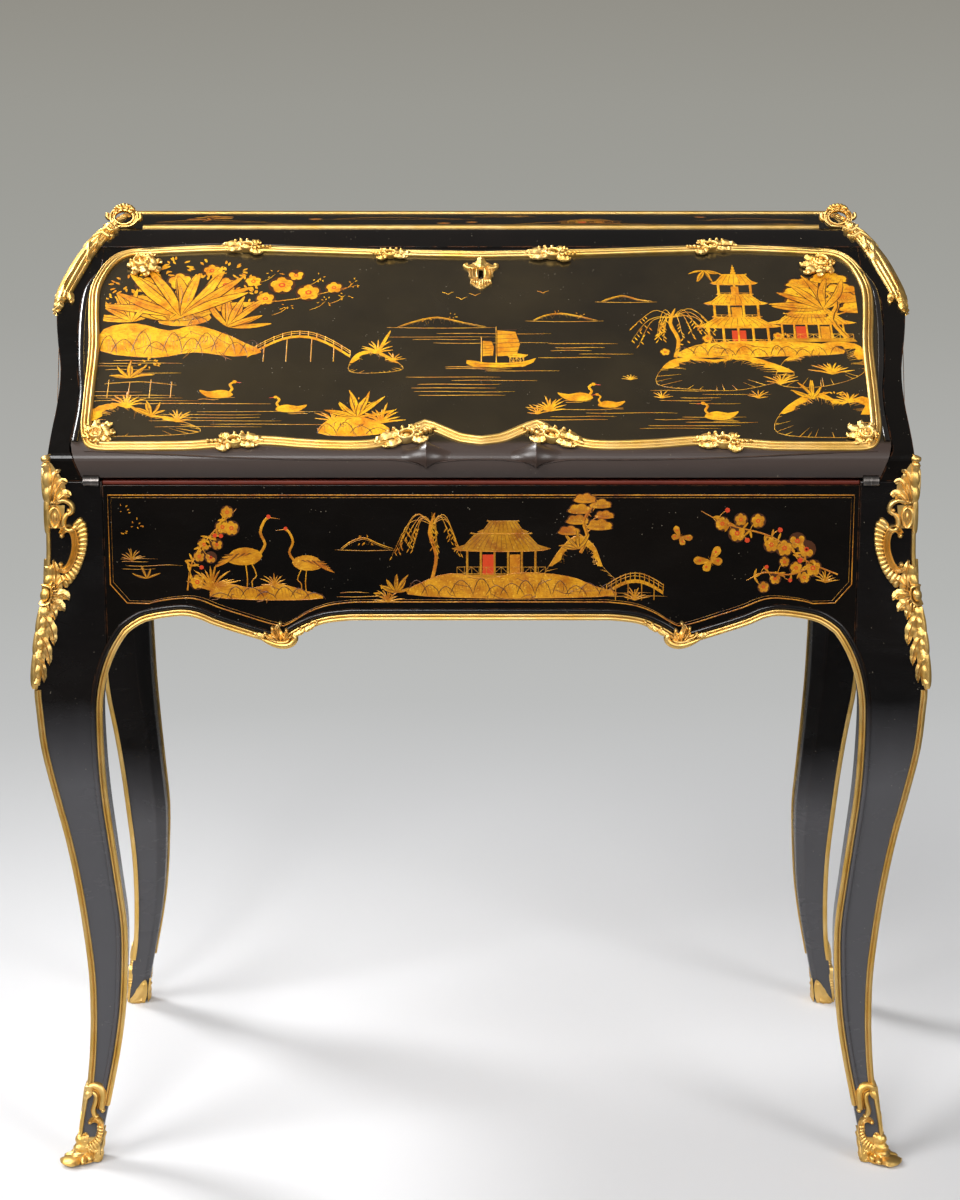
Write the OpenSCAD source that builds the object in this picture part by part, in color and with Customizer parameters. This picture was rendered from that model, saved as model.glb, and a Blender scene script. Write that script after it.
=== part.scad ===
// Slant-front writing desk on four cabriole legs, black lacquer with gilt mounts.
// X runs across the front, Y goes back, Z goes up, and the floor is at Z = 0.

/* [Case] */
// Width over the corner posts
case_w = 848; // [760:1:960]
// Depth over the corner posts
case_d = 440; // [420:1:500]
// Height of the writing level and of the fall's hinge line
writing_h = 720; // [690:1:760]
// Height of the upper case over the writing level
upper_h = 215; // [200:1:225]
// Thickness of the side panels at the writing level
side_t = 28; // [24:0.5:34]
// Thickness of the top board
top_t = 17; // [14:0.5:19]
// Thickness of the back panel
back_t = 12; // [8:0.5:16]
// How far the sides draw in at the waist
waist_in = 3.5; // [0:0.5:8]
// How far the sides swell out above the waist
bulge_out = 11.5; // [4:0.5:16]
// How far the top is narrower than the case, each side
shoulder_in = 28; // [20:0.5:34]
// Depth of the rail under the top's front edge
rail_d = 24; // [18:0.5:28]
// Height of that rail
rail_t = 26; // [22:0.5:30]
// From the top down to the fall's upper inner edge
rail_drop = 37; // [34:0.5:40]

/* [Fall] */
// Slope of the shut writing face, in degrees
fall_angle = 33.5; // [32.5:0.1:34.5]
// Thickness of the fall
fall_t = 22; // [18:0.5:25]
// Swell of the fall's outer face
fall_crown = 4; // [0:0.5:7]
// Height of the upright lip along the fall's lower edge
lip_h = 20; // [16:0.5:24]
// Clearance round the fall
fall_gap = 0.6; // [0.4:0.1:1.5]
// Width of the gilt frame on the fall
frame_w = 11; // [8:0.5:14]
// Height of the gilt frame over the lacquer
frame_t = 4; // [2:0.5:6]
// Height of the leaf clasps over the gilt frame
clasp_t = 4; // [2:0.5:5]
// Margin of the writing leather from the fall's edges
leather_margin = 34; // [30:1:60]
// Thickness of the writing leather
leather_t = 1.4; // [0.8:0.1:2]

/* [Aprons and boards] */
// Thickness of the aprons
apron_t = 18; // [14:0.5:22]
// Drop from the writing level to the straight middle of the front apron
apron_drop = 139; // [125:1:150]
// Drop to the tips of the two cusps
cusp_drop = 165; // [158:1:180]
// Drop to the place where the aprons run into the legs
ear_drop = 174; // [168:1:190]
// Thickness of the writing bed
bed_t = 14; // [12:0.5:18]
// Thickness of the red ledge on the front apron
ledge_t = 4; // [3:0.5:6]
// Thickness of the bottom board
bottom_t = 8; // [6:0.5:10]

/* [Legs] */
// Width of the square corner posts
post_w = 53; // [48:0.5:58]
// How far the knees stand out past the posts
knee_out = 16.5; // [8:0.5:20]
// How far the ankles draw in from the posts
ankle_in = 23; // [14:0.5:28]
// Width of a leg at the knee
knee_w = 64; // [58:0.5:68]
// Width of a leg at the ankle
ankle_w = 24; // [20:0.5:30]
// Extra reach of the feet to the front and the back
foot_forward = 14; // [0:0.5:20]
// Thickness of the gilt fillets on the edges
fillet_t = 1.8; // [1:0.1:2.5]
// Width of the gilt fillets
fillet_w = 5; // [3:0.5:7]
// Height of the leaf of a gilt shoe
shoe_h = 80; // [60:1:95]
// Height of the cup of a gilt shoe
shoe_cup = 24; // [18:1:30]
// How far the toe of a shoe stands out
toe_out = 8; // [5:0.5:11]

/* [Interior] */
// Height of the lower drawer tier
tier_h = 77; // [66:1:80]
// Room between the shut fall and the drawer fronts, at their upper edge
drawer_room = 108; // [100:1:114]
// Gap between the rail and the pigeonholes
nest_gap = 8; // [4:0.5:20]
// Thickness of the inner boards
inner_t = 6; // [5:0.5:8]
// Running clearance round the drawers
drawer_gap = 0.8; // [0.5:0.1:1.5]
// Thickness of the drawer fronts
front_t = 10; // [8:0.5:14]
// Diameter of the drawer knobs
knob_d = 15; // [10:0.5:20]
// Half width of the well under the sliding cover
well_w2 = 180; // [120:1:220]
// Distance from the front apron to the well's front edge
well_front = 22; // [15:1:40]

/* [Hardware] */
// Radius of the hinge knuckles
knuckle_r = 5; // [4.5:0.1:5.5]
// Radius of the hinge pins
hinge_pin_r = 1.8; // [1.5:0.1:2.2]
// Length of one hinge knuckle
knuckle_l = 7.4; // [6:0.1:8]
// Thickness of the hinge leaves
leaf_t = 2; // [1.5:0.1:2.5]
// Reach of the stay pivots from the hinge line
stay_reach = 84; // [78:0.5:86]
// Width of the stays
stay_w = 11; // [9:0.5:12]
// Thickness of the stays
stay_t = 3; // [2:0.1:4]
// Radius of the studs that the stays run on
stud_r = 2.3; // [2:0.1:2.5]
// Travel of the lock bolt
bolt_travel = 8; // [6:0.5:9]

/* [Hidden] */
$fn = 48;

lacquer = "#14110f";
gilt = "#d9a441";
inner_wood = "#6b2f1c";
steel = "#8a8c90";
red_ledge = "#7a2a1c";
hide = "#5c1f1a";

seat = 0.15;          // how close a mount or fillet lies to the wood
big = 2000;           // longer than the desk in every direction
desk_h = writing_h + upper_h;
mm = case_w / 848;                // a millimetre on the desk as it stands
half_w = case_w / 2;
half_d = case_d / 2;
inner_w2 = half_w - side_t;      // inner faces of the side panels
post_in = half_w - post_w;       // inner faces of the posts, across
post_in_y = half_d - post_w;     // inner faces of the posts, front to back
ear_z = writing_h - ear_drop;
bed_z = writing_h - bed_t;
top_z = desk_h - top_t;
sin_a = sin(fall_angle);
cos_a = cos(fall_angle);
swing = 180 - fall_angle;        // turn of the fall from shut to level

// Smooth curve through points, n steps in each span
function spline(p0, p1, p2, p3, t) = 0.5 * (2 * p1 + (p2 - p0) * t
    + (2 * p0 - 5 * p1 + 4 * p2 - p3) * t * t + (3 * p1 - p0 - 3 * p2 + p3) * t * t * t);
function smooth(p, n) = let (m = len(p) - 1) [for (i = [0 : m - 1]) for (k = [0 : n - 1])
    spline(p[max(i - 1, 0)], p[i], p[i + 1], p[min(i + 2, m)], k / n), p[m]];
function reversed(p) = [for (i = [len(p) - 1 : -1 : 0]) p[i]];
function mirrored(p) = [for (q = reversed(p)) [-q[0], q[1]]];
// Closed outline moved sideways by d, inwards on an anticlockwise outline
function inset(p, d) = let (n = len(p)) [for (i = [0 : n - 1])
    let (t = p[(i + 1) % n] - p[(i + n - 1) % n]) p[i] + d * [-t[1], t[0]] / norm(t)];

// A solid through rings of points, each ring anticlockwise seen from the last one
module loft(rings) {
    n = len(rings[0]);
    m = len(rings);
    side_faces = [for (j = [0 : m - 2]) for (i = [0 : n - 1])
        let (a = j * n + i, b = j * n + (i + 1) % n)
        each [[a, a + n, b + n], [a, b + n, b]]];
    polyhedron([for (r = rings) each r], concat([[for (i = [0 : n - 1]) i]],
        [[for (i = [n - 1 : -1 : 0]) (m - 1) * n + i]], side_faces), convexity = 6);
}
module both_sides() { children(); mirror([1, 0, 0]) children(); }
module four_corners() {
    both_sides() children();
    rotate([0, 0, 180]) both_sides() children();
}
// Axes of the slope: X across, Y up the shut writing face, Z out of it
module on_slope() { translate([0, -half_d, writing_h]) rotate([fall_angle, 0, 0]) children(); }
// A section drawn in the Y and Z axes, run along X
module along_x(length = big) { rotate([90, 0, 90]) linear_extrude(length, center = true) children(); }
function from_slope(p) = [-half_d + p[0] * cos_a - p[1] * sin_a,
                          writing_h + p[0] * sin_a + p[1] * cos_a];

// Section of the case and the fall

fall_len = (desk_h - rail_drop - writing_h) / sin_a;
lip_round = 1.2 * lip_h;         // where the lip's rounding ends on the slope
hinge_free = 3.6;                // the fall stops this far from the hinge line
edge_run = 26.5;                 // from the fall's upper edge to the top's front edge
edge_rise = 5;                   // and how far that stands over the fall
face_steps = 12;
lip_low = hinge_free * [sin_a, cos_a];
lip_top = lip_h * [sin_a, cos_a];
lip_corner = [fall_t * sin_a / cos_a, fall_t];
function bend(a, b, c, t) = a * (1 - t) * (1 - t) + 2 * b * t * (1 - t) + c * t * t;
lip_curve = [for (k = [0 : 5]) bend(lip_top, lip_corner, [lip_round, fall_t], k / 5)];
face_curve = [for (k = [1 : face_steps]) let (s = k / face_steps)
    [lip_round + s * (fall_len - lip_round), fall_t + fall_crown * sin(180 * s)]];
past = 0.75 * edge_run;          // how far the fall's solids run on before they are cut
face_line = concat(lip_curve, face_curve, [[fall_len + past, fall_t]]);
top_edge = [fall_len + edge_run, fall_t + edge_rise];  // front edge of the top, in slope axes
top_front = from_slope(top_edge)[0];
case_section = concat([[-half_d, writing_h]],
    [for (p = concat(lip_curve, face_curve)) from_slope(p)],
    [from_slope(top_edge - [0.8, 0.1] * edge_rise), [top_front + 0.6 * edge_rise, desk_h], [half_d, desk_h], [half_d, writing_h]]);

// Half widths of the upper case against height
waist_rise = 0.326 * upper_h;
bulge_drop = 0.293 * upper_h;
case_flank = smooth([[half_w, writing_h], [half_w - 0.3 * waist_in, writing_h + 0.55 * waist_rise],
    [half_w - waist_in, writing_h + waist_rise],
    [half_w - waist_in / 2, writing_h + 1.36 * waist_rise],
    [half_w + 0.6 * bulge_out, desk_h - 1.43 * bulge_drop],
    [half_w + bulge_out, desk_h - bulge_drop],
    [half_w + 0.3 * bulge_out, desk_h - 0.63 * bulge_drop],
    [half_w - 0.27 * shoulder_in, desk_h - 0.33 * bulge_drop], [half_w - shoulder_in, desk_h]], 3);
flank_table = [for (p = case_flank) [p[1], p[0]]];
function flank_x(z) = z < writing_h ? half_w : lookup(z, flank_table);

module case_body() {
    intersection() {
        along_x() polygon(case_section);
        rotate([90, 0, 0]) linear_extrude(big, center = true)
            polygon(concat(case_flank, mirrored(case_flank)));
    }
}
module slab(x0, x1, y0, y1, z0, z1) { translate([x0, y0, z0]) cube([x1 - x0, y1 - y0, z1 - z0]); }

// Outline of the fall across the slope: share of the inner width, extra width, share of the length
fall_rows = [[1, -7, 0], [1, 6, 0.062], [1, 5, 0.14], [1, 3.5, 0.233], [1, 4.5, 0.326], [1, 8, 0.404],
    [1, 11.5, 0.512], [1, 14, 0.62], [1, 15, 0.73], [1, 13, 0.8], [1, 7, 0.851], [1, -2, 0.9],
    [1, -14, 0.95], [1, -30, 0.984], [1, -51, 1.003], [0.783, 0, 1.014], [0.677, 0, 1.018],
    [0.48, 0, 1.011], [0.268, 0, 0.998], [0, 0, 0.988]];
function on_face(r) = [r[0] * inner_w2 + r[1] * mm, r[2] * fall_len];
fall_half = smooth([for (r = fall_rows) on_face(r)], 3);
fall_outline = concat([[inner_w2 - 7 * mm, -40 * mm]], fall_half, mirrored([for (i = [0 : len(fall_half) - 2])
    fall_half[i]]), [[-inner_w2 + 7 * mm, -40 * mm]]);
fall_pocket_outline = inset(fall_outline, -fall_gap);

// Outline of the gilt frame on the fall, from the middle of the lower edge to the cusp, and on up
frame_low_rows = [[0, 0, 0.084], [0.055, 0, 0.097], [0.1, 0, 0.127], [0.138, 0, 0.154]];
frame_rows = [[0.138, 0, 0.154], [0.185, 0, 0.108], [0.25, 0, 0.0745], [0.318, 0, 0.065],
    [0.432, 0, 0.0708], [0.546, 0, 0.084], [0.66, 0, 0.0708], [0.735, 0, 0.0625], [0.886, 0, 0.061],
    [1, -19, 0.0635], [1, -7, 0.09], [1, -1.5, 0.155], [1, -0.5, 0.233], [1, 0, 0.31], [1, 1, 0.51],
    [1, 6, 0.665], [1, 8, 0.783], [1, 2.5, 0.873], [1, -8, 0.947], [1, -24, 0.988], [1, -51, 1.0],
    [0.677, 0, 1.0145], [0.48, 0, 1.007], [0.268, 0, 0.9935], [0, 0, 0.983]];
frame_low = smooth([for (r = frame_low_rows) on_face(r)], 2);
frame_up = smooth([for (r = frame_rows) on_face(r)], 3);
frame_half = concat(frame_low, [for (i = [1 : len(frame_up) - 1]) frame_up[i]]);
frame_outer = concat(frame_half, mirrored([for (i = [1 : len(frame_half) - 2]) frame_half[i]]));
frame_inner = inset(frame_outer, frame_w);

// The fall's lower corners are turned about the hinge line, so that they clear the case
function edge_x(u) = lookup(u, [for (p = fall_half) if (p[1] < 0.1 * fall_len) [p[1], p[0]]]);
corner_r = 2 * lip_h;
corner_line = [for (k = [0 : 8]) let (r = corner_r * k / 8) [r, edge_x(sin_a * r)]];
module turn_about_hinge(profile) {
    translate([0, -half_d, writing_h]) rotate([0, 90, 0]) rotate_extrude() polygon(profile);
}
module turned_corner() {
    turn_about_hinge(concat(corner_line, [[corner_r, half_w + 40], [0, half_w + 40]]));
}
module swept_corner() {
    turn_about_hinge(concat([[0, 0]], [for (p = corner_line) p + [0, fall_gap]], [[corner_r, 0]]));
}

// A skin on the fall's outer face between two heights over it
module face_skin(low, high) {
    on_slope() along_x() polygon(concat([for (p = face_line) p + [0, low]],
        reversed([for (p = face_line) p + [0, high]])));
}
module through_face() { on_slope() linear_extrude(4 * fall_t) children(); }

// Legs: share of the ear height, blend of the splay from ankle to knee, blend of the width
leg_rows = [[0.004, 0.43, -0.05], [0.046, 0.354, -0.06], [0.092, 0.266, -0.02], [0.147, 0.127, 0],
    [0.211, 0.043, 0.09], [0.284, 0, 0.2], [0.366, 0.013, 0.3], [0.458, 0.114, 0.4375],
    [0.549, 0.253, 0.47], [0.641, 0.443, 0.54], [0.733, 0.684, 0.675], [0.824, 0.899, 0.84],
    [0.897, 0.975, 0.912], [0.938, 1, 1], [1, 0.937, 1.0]];
ear_splay = -ankle_in + 0.937 * (knee_out + ankle_in);
leg_low = smooth([for (r = leg_rows) [r[0] * ear_z, -ankle_in + r[1] * (knee_out + ankle_in),
    r[0] == 1 ? post_w + ear_splay : ankle_w + r[2] * (knee_w - ankle_w)]], 3);
// Posts: share of the way up, share of the splay at the ear
post_rows = [[0, 1], [0.12, 0.82], [0.25, 0.54], [0.42, 0.22], [0.6, 0.05], [1, 0]];
post_line = [for (r = smooth([for (r = post_rows) [ear_z + r[0] * ear_drop, r[1] * ear_splay]], 2))
    [r[0], r[1], post_w + r[1]]];
leg_line = concat(leg_low, [for (i = [1 : len(post_line) - 1]) post_line[i]]);
// Extra splay of the feet along Y
function foot_extra(z) = foot_forward * pow(max(0, 1 - z / (0.73 * ear_z)), 1.3);
// Corner of the front left leg at a row of the leg line
function arris(r) = [-half_w - r[1], -half_d - r[1] - foot_extra(r[0]), r[0]];
function leg_span(low, high) = [for (r = leg_line) if (r[0] >= low && r[0] <= high) r];

// The knees swell at the outer corner only: the inner edges stay flush with the aprons
function hold(z) = let (t = min(1, max(0, (z / ear_z - 0.6) / 0.4))) t * t * (3 - 2 * t);
function skew(r) = hold(r[0]) * max(0, r[1]);
function leg_ring(r, grow = 0, toe = [0, 0, 0]) = let (w = r[2] + 2 * grow, k = 0.25 * r[2],
    h = skew(r), c = arris(r) - [grow, grow, 0])
    [c - toe, c + [w, h, 0], c + [w, w - k, 0], c + [w - k, w, 0], c + [h, w, 0]];
module leg_block(grow = 0) { loft([for (r = leg_line) leg_ring(r, grow)]); }
module leg() { color(lacquer) leg_block(); }

// A wrap round the outer corner of a leg, from rows of height, wing width and thickness
function wrap_ring(c, h, wing, t, edge) = [c + [wing, h + 2, 0], c + [h + 2, wing, 0],
    c + [h - edge * t, wing, 0], c + [-t, -t, 0], c + [wing, h - edge * t, 0]];
module corner_wrap(rows, low, high, edge = 0.6) {
    wings = [for (r = rows) [r[0], r[1]]];
    thick = [for (r = rows) [r[0], r[2]]];
    difference() {
        loft([for (r = leg_span(low, high)) let (w = lookup(r[0], wings))
            wrap_ring(arris(r), w * skew(r) / r[2], w, lookup(r[0], thick), edge)]);
        leg_block(seat);
    }
}

// Knee mount: share of the ear's drop below the writing level, wing width, thickness
knee_rows = [for (r = [[1.213, 3, 3], [1.121, 12, 5], [1.006, 17, 7], [0.851, 15, 6], [0.782, 21, 7],
    [0.632, 24, 8], [0.575, 32, 7], [0.391, 39, 6], [0.259, 33, 5], [0.19, 24, 5], [0.08, 19, 6],
    [-0.086, 14, 6], [-0.126, 5, 5]])
    [writing_h - r[0] * ear_drop, r[1] * knee_w / 64, r[2] * knee_w / 64]];
module knee_mount() {
    wings = [for (r = knee_rows) [r[0], r[1]]];
    thick = [for (r = knee_rows) [r[0], r[2]]];
    low = knee_rows[0][0];
    high = knee_rows[len(knee_rows) - 1][0];
    levels = concat([for (r = leg_span(low, writing_h - 1)) [arris(r), skew(r) / r[2]]],
        [for (k = [0 : 3]) [[-half_w, -half_d, writing_h + k * (high - writing_h) / 3], 0]]);
    color(gilt) difference() {
        loft([for (v = levels) let (c = v[0], w = lookup(c[2], wings))
            wrap_ring(c, w * v[1], w, lookup(c[2], thick), 0.6)]);
        leg_block(seat);
        slab(-half_w - seat, 0, -half_d - seat, 0, writing_h - 1, high + 1);
    }
}

// Gilt shoe: a cup round the foot and a tall leaf up the outer corner
function station_under(z) = max([for (r = leg_line) if (r[0] <= z + 1) r[0]]);
shoe_top = station_under(shoe_h);
cup_top = station_under(shoe_cup + 1);
knee_low = station_under(knee_rows[0][0] + 0.02 * ear_drop);
foot_z = leg_line[0][0];
function foot_rings(high, grow, toe, base) = let (rows = leg_span(0, high),
    rings = [for (r = rows) leg_ring(r, grow, toe * max(0, 1 - r[0] / cup_top) * [1, 1, 0])])
    concat([[for (p = rings[0]) [p[0], p[1], base]]], rings);
module shoe() {
    rows = [[cup_top, ankle_w * 0.8, 4], [shoe_h * 0.6, ankle_w * 0.55, 4], [shoe_h, 4, 3]];
    color(gilt) union() {
        corner_wrap(rows, cup_top, shoe_top);
        difference() {
            loft(foot_rings(cup_top, 3, toe_out, 0));
            loft(foot_rings(shoe_h, seat, 0, foot_z - seat));
        }
    }
}
module arris_fillet() {
    color(gilt) corner_wrap([[0, 0.9 * fillet_w, 0.9 * fillet_t],
        [ear_z, 1.1 * fillet_w, 1.1 * fillet_t]], shoe_top, knee_low, 1);
}

// Aprons: share of the half length, drop below the writing level
apron_outer = smooth([[1, ear_drop], [0.959, ear_drop - 17.6], [0.916, apron_drop + 5],
    [0.876, apron_drop - 0.7], [0.802, apron_drop - 4.5], [0.757, apron_drop - 2],
    [0.713, apron_drop + 5], [0.647, apron_drop + 13.3], [0.59, apron_drop + 20], [0.536, cusp_drop]], 2);
apron_middle = smooth([[0.536, cusp_drop], [0.501, apron_drop + 17.5], [0.468, apron_drop + 10.5],
    [0.42, apron_drop + 3.5], [0.36, apron_drop + 0.5], [0.3, apron_drop], [0, apron_drop]], 2);
side_curve = smooth([[1, ear_drop], [0.93, ear_drop - 17], [0.84, apron_drop + 4],
    [0.72, apron_drop - 3], [0.58, apron_drop - 3.5], [0.42, apron_drop + 1],
    [0.25, apron_drop + 8], [0.1, apron_drop + 12], [0, apron_drop + 12.5]], 2);
apron_curve = concat(apron_outer, [for (i = [1 : len(apron_middle) - 1]) apron_middle[i]]);
function right_edge(rows, half) = [for (r = rows) [half * r[0], writing_h - r[1]]];
function whole_edge(rows, half) = let (e = right_edge(rows, half))
    concat(mirrored(reversed(e)), [for (i = [len(e) - 2 : -1 : 0]) e[i]]);
module apron_board(rows, half, top) {
    rotate([90, 0, 0]) translate([0, 0, -apron_t])
        linear_extrude(apron_t) polygon(concat(whole_edge(rows, half), [[half, top], [-half, top]]));
}

// Gilt fillets along the inner edges of the legs and the lower edges of the aprons
function unit(v) = v / norm(v);
function fillet_ring(p, a, f) = [p + a * fillet_w + f * seat, p + a * fillet_w + f * fillet_t,
    p - a * fillet_t + f * fillet_t, p - a * fillet_t - f * 2 * fillet_t,
    p - a * seat - f * 2 * fillet_t, p - a * seat + f * seat];
fillet_low = station_under(0.65 * shoe_h);
// Fillet rings up the inner edge of the front left leg, on its front or its side
function leg_up(side) = [for (r = leg_span(fillet_low, ear_z - 1))
    let (g = leg_ring(r), p = side ? g[4] : g[1], a = unit(g[0] - p), f = [-a[1], a[0], 0])
    fillet_ring(p, a, side ? -f : f)];
function turn_x(rings) = [for (g = reversed(rings)) [for (p = g) [-p[0], p[1], p[2]]]];
function turn_y(rings) = [for (g = reversed(rings)) [for (p = g) [p[0], -p[1], p[2]]]];
module edge_fillet(up, middle, down, f) {
    n = len(middle);
    loft(concat(up, [for (i = [0 : n - 1])
        fillet_ring(middle[i], unit(cross(f, middle[min(i + 1, n - 1)] - middle[max(i - 1, 0)])), f)], down));
}
module front_fillet() {
    up = leg_up(false);
    middle = [for (p = whole_edge(apron_curve, post_in)) [p[0], -half_d, p[1]]];
    color(gilt) difference() {
        edge_fillet(up, middle, turn_x(up), [0, -1, 0]);
        both_sides() leg_block(0.6 * seat);
    }
}
module side_fillet() {
    up = turn_y(reversed(leg_up(true)));
    middle = [for (p = whole_edge(side_curve, post_in_y)) [-half_w, -p[0], p[1]]];
    color(gilt) difference() {
        edge_fillet(up, middle, turn_y(up), [-1, 0, 0]);
        leg_block(0.6 * seat);
        mirror([0, 1, 0]) leg_block(0.6 * seat);
    }
}

// Closed smooth outline through points, n steps in each span
function loop(p, n) = let (m = len(p)) [for (i = [0 : m - 1]) for (k = [0 : n - 1])
    spline(p[(i + m - 1) % m], p[i], p[(i + 1) % m], p[(i + 2) % m], k / n)];
function oval(a, b, n = 28) = [for (i = [0 : n - 1]) [a * cos(360 * i / n), b * sin(360 * i / n)]];

// Boards of the lower case: wide between the posts, narrow beside them
module cross_board(wide, z0, z1) {
    long_y = half_d - apron_t;
    translate([0, 0, z0]) linear_extrude(z1 - z0) polygon([
        [post_in, -long_y], [post_in, -post_in_y], [wide, -post_in_y], [wide, post_in_y],
        [post_in, post_in_y], [post_in, long_y], [-post_in, long_y], [-post_in, post_in_y],
        [-wide, post_in_y], [-wide, -post_in_y], [-post_in, -post_in_y], [-post_in, -long_y]]);
}

// Stays: slotted bars that turn on the fall and run on studs in the case
pivot_off = 8;                                    // pivot's distance from the writing face
stay_lead = 18;                                   // angle between pivot and stud, shut
stay_x = inner_w2 - 16;
pivot_turn = fall_angle - asin(pivot_off / stay_reach);
stud_turn = pivot_turn - stay_lead;
function from_hinge(turn) = [-half_d + stay_reach * cos(turn), writing_h + stay_reach * sin(turn)];
pivot_yz = from_hinge(pivot_turn);
stud_yz = from_hinge(stud_turn);
stay_turn = (pivot_turn + stud_turn) / 2 - 90;    // direction of the shut stay
slot_near = 2 * stay_reach * sin(stay_lead / 2);
slot_far = 2 * stay_reach * sin((stay_lead + swing) / 2);
pivot_pin_r = 2.5;
fit = 0.06;                                       // running clearance of the pins
bed_slot_front = stay_reach * 0.88;               // from the hinge line, along Y
bed_slot_back = stay_reach * 1.95;
hinge_x = post_in + 3;
hinge_len = 2 * knuckle_l + 0.2;
leaf_len = 35;
hinge_clear = knuckle_r + 0.7;
module at_hinge(x0, x1, r) {
    translate([x0, -half_d, writing_h]) rotate([0, 90, 0]) cylinder(h = x1 - x0, r = r);
}
module hinge_recess() {
    slab(hinge_x - 0.2, hinge_x + hinge_len + 0.2, -half_d - 1, -half_d + leaf_len + 0.2,
         writing_h - leaf_t - 0.1, writing_h + 1);
    at_hinge(hinge_x - 0.4, hinge_x + hinge_len + 0.4, hinge_clear);
}

// Pieces of the case

module front_leg() {
    color(lacquer) difference() {
        leg();
        mirror([1, 0, 0]) hinge_recess();
    }
}
module front_apron() {
    color(lacquer) translate([0, -half_d, 0]) apron_board(apron_curve, post_in, writing_h - ledge_t);
}
module back_apron() {
    color(lacquer) translate([0, half_d - apron_t, 0]) apron_board(apron_curve, post_in, writing_h);
}
module side_apron() {
    color(lacquer) translate([half_w, 0, 0]) rotate([0, 0, 90])
        apron_board(side_curve, post_in_y, writing_h);
}
function apron_rise() = min([for (r = concat(apron_curve, side_curve)) r[1]]);
bottom_z = writing_h - apron_rise() + 1;
module bottom_board() { color(inner_wood) cross_board(half_w - apron_t, bottom_z, bottom_z + bottom_t); }
well_y = -half_d + apron_t + well_front;
module writing_bed() {
    color(red_ledge) difference() {
        union() {
            cross_board(half_w - apron_t, bed_z, writing_h);
            slab(-post_in, post_in, -half_d + 0.5, -half_d + apron_t + ledge_t, writing_h - ledge_t, writing_h);
        }
        slab(-well_w2, well_w2, well_y, half_d, bed_z - 1, writing_h + 1);
        both_sides() slab(stay_x - stay_t / 2 - 3, stay_x + stay_t / 2 + 3, -half_d + bed_slot_front,
                          -half_d + bed_slot_back, bed_z - 1, writing_h + 1);
    }
}
module side_panel() {
    cheek = hinge_x + hinge_len + 0.9;
    color(lacquer) difference() {
        intersection() {
            case_body();
            union() {
                slab(inner_w2, half_w + 50, -half_d - 1, half_d + 1, writing_h, top_z);
                slab(cheek, half_w, -half_d - 1, -half_d + 30, writing_h, writing_h + 30);
            }
        }
        fall_pocket();
        swept_corner();
    }
}
module fall_pocket() {
    on_slope() translate([0, 0, -fall_gap]) linear_extrude(4 * fall_t) polygon(fall_pocket_outline);
}
back_y = half_d - back_t;
module back_panel() { color(lacquer) slab(-inner_w2, inner_w2, back_y, half_d, writing_h, top_z); }
module top_board() {
    color(lacquer) difference() {
        intersection() {
            case_body();
            slab(-big, big, -big, big, top_z, desk_h + 1);
        }
        fall_pocket();
    }
}
rail_back = top_front + rail_d;
rail_low = top_z - rail_t;
keeper_w = 22;
keeper_h = 9.4;
bolt_w = 12;
keeper_u = 0.988 * fall_len + fall_gap + 0.2;
module top_rail() {
    color(lacquer) difference() {
        intersection() {
            case_body();
            slab(-inner_w2, inner_w2, -big, rail_back, rail_low, top_z);
        }
        fall_pocket();
        on_slope() slab(-keeper_w - 0.2, keeper_w + 0.2, keeper_u - 3, keeper_u + 2.2, 0.8, keeper_h + 1.2);
        on_slope() slab(-bolt_w - 1, bolt_w + 1, keeper_u - 3, keeper_u + bolt_travel + 1.5, 2.4, 9);
    }
}
module lock_keeper() {
    color(steel) on_slope() difference() {
        slab(-keeper_w, keeper_w, keeper_u, keeper_u + 2, 1, keeper_h + 1);
        slab(-bolt_w - 0.6, bolt_w + 0.6, keeper_u - 1, keeper_u + 3, 2.7, 8.7);
    }
}

// Gilt mounts of the case

case_line = concat(face_curve, [top_edge - [0.8, 0.1] * edge_rise]);
function case_v(u) = lookup(u, case_line);
// A wrap over the upper corner, in slope height, wing over the face, reach down the side, thickness
shoulder_rows = [[1.066, 13, 8, 5], [1.03, 15, 10, 6], [0.98, 13, 10, 5], [0.92, 12, 10, 5],
    [0.85, 12, 10, 5], [0.78, 13, 9, 5], [0.74, 14, 8, 6], [0.7, 8, 6, 5], [0.68, 3, 4, 3]];
module shoulder_mount() {
    rows = smooth(shoulder_rows, 2);
    rings = [for (r = rows) let (u = r[0] * fall_len, p = from_slope([u, case_v(u)]), x = flank_x(p[1]))
        [for (q = [[r[1], 0.4], [r[1], 0.6 * r[3]], [-r[3], r[3]], [-r[3], -r[2]], [-0.5, -r[2]],
                   [-0.5, 0.4]])
            let (z = p[1] + q[1] * cos_a, edge = q[1] < 0 ? flank_x(z) : x)
            [-edge + q[0], p[0] - q[1] * sin_a, z]]];
    color(gilt) loft(rings);
}
ring_a = 18.5;
ring_b = 11.5;
ring_t = 8;
ring_tilt = 20;
module corner_ring() {
    x = -half_w + shoulder_in + ring_a - 0.5;
    z = desk_h + seat + ring_b * cos(ring_tilt) + ring_t / 2 * sin(ring_tilt);
    color(gilt) translate([x, top_front + 13, z]) rotate([90 - ring_tilt, 0, 0])
        linear_extrude(ring_t, center = true) difference() {
            polygon(oval(ring_a, ring_b));
            polygon(oval(ring_a - 7, ring_b - 5));
        }
}
border_w = 8;
border_t = 3.5;
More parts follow.
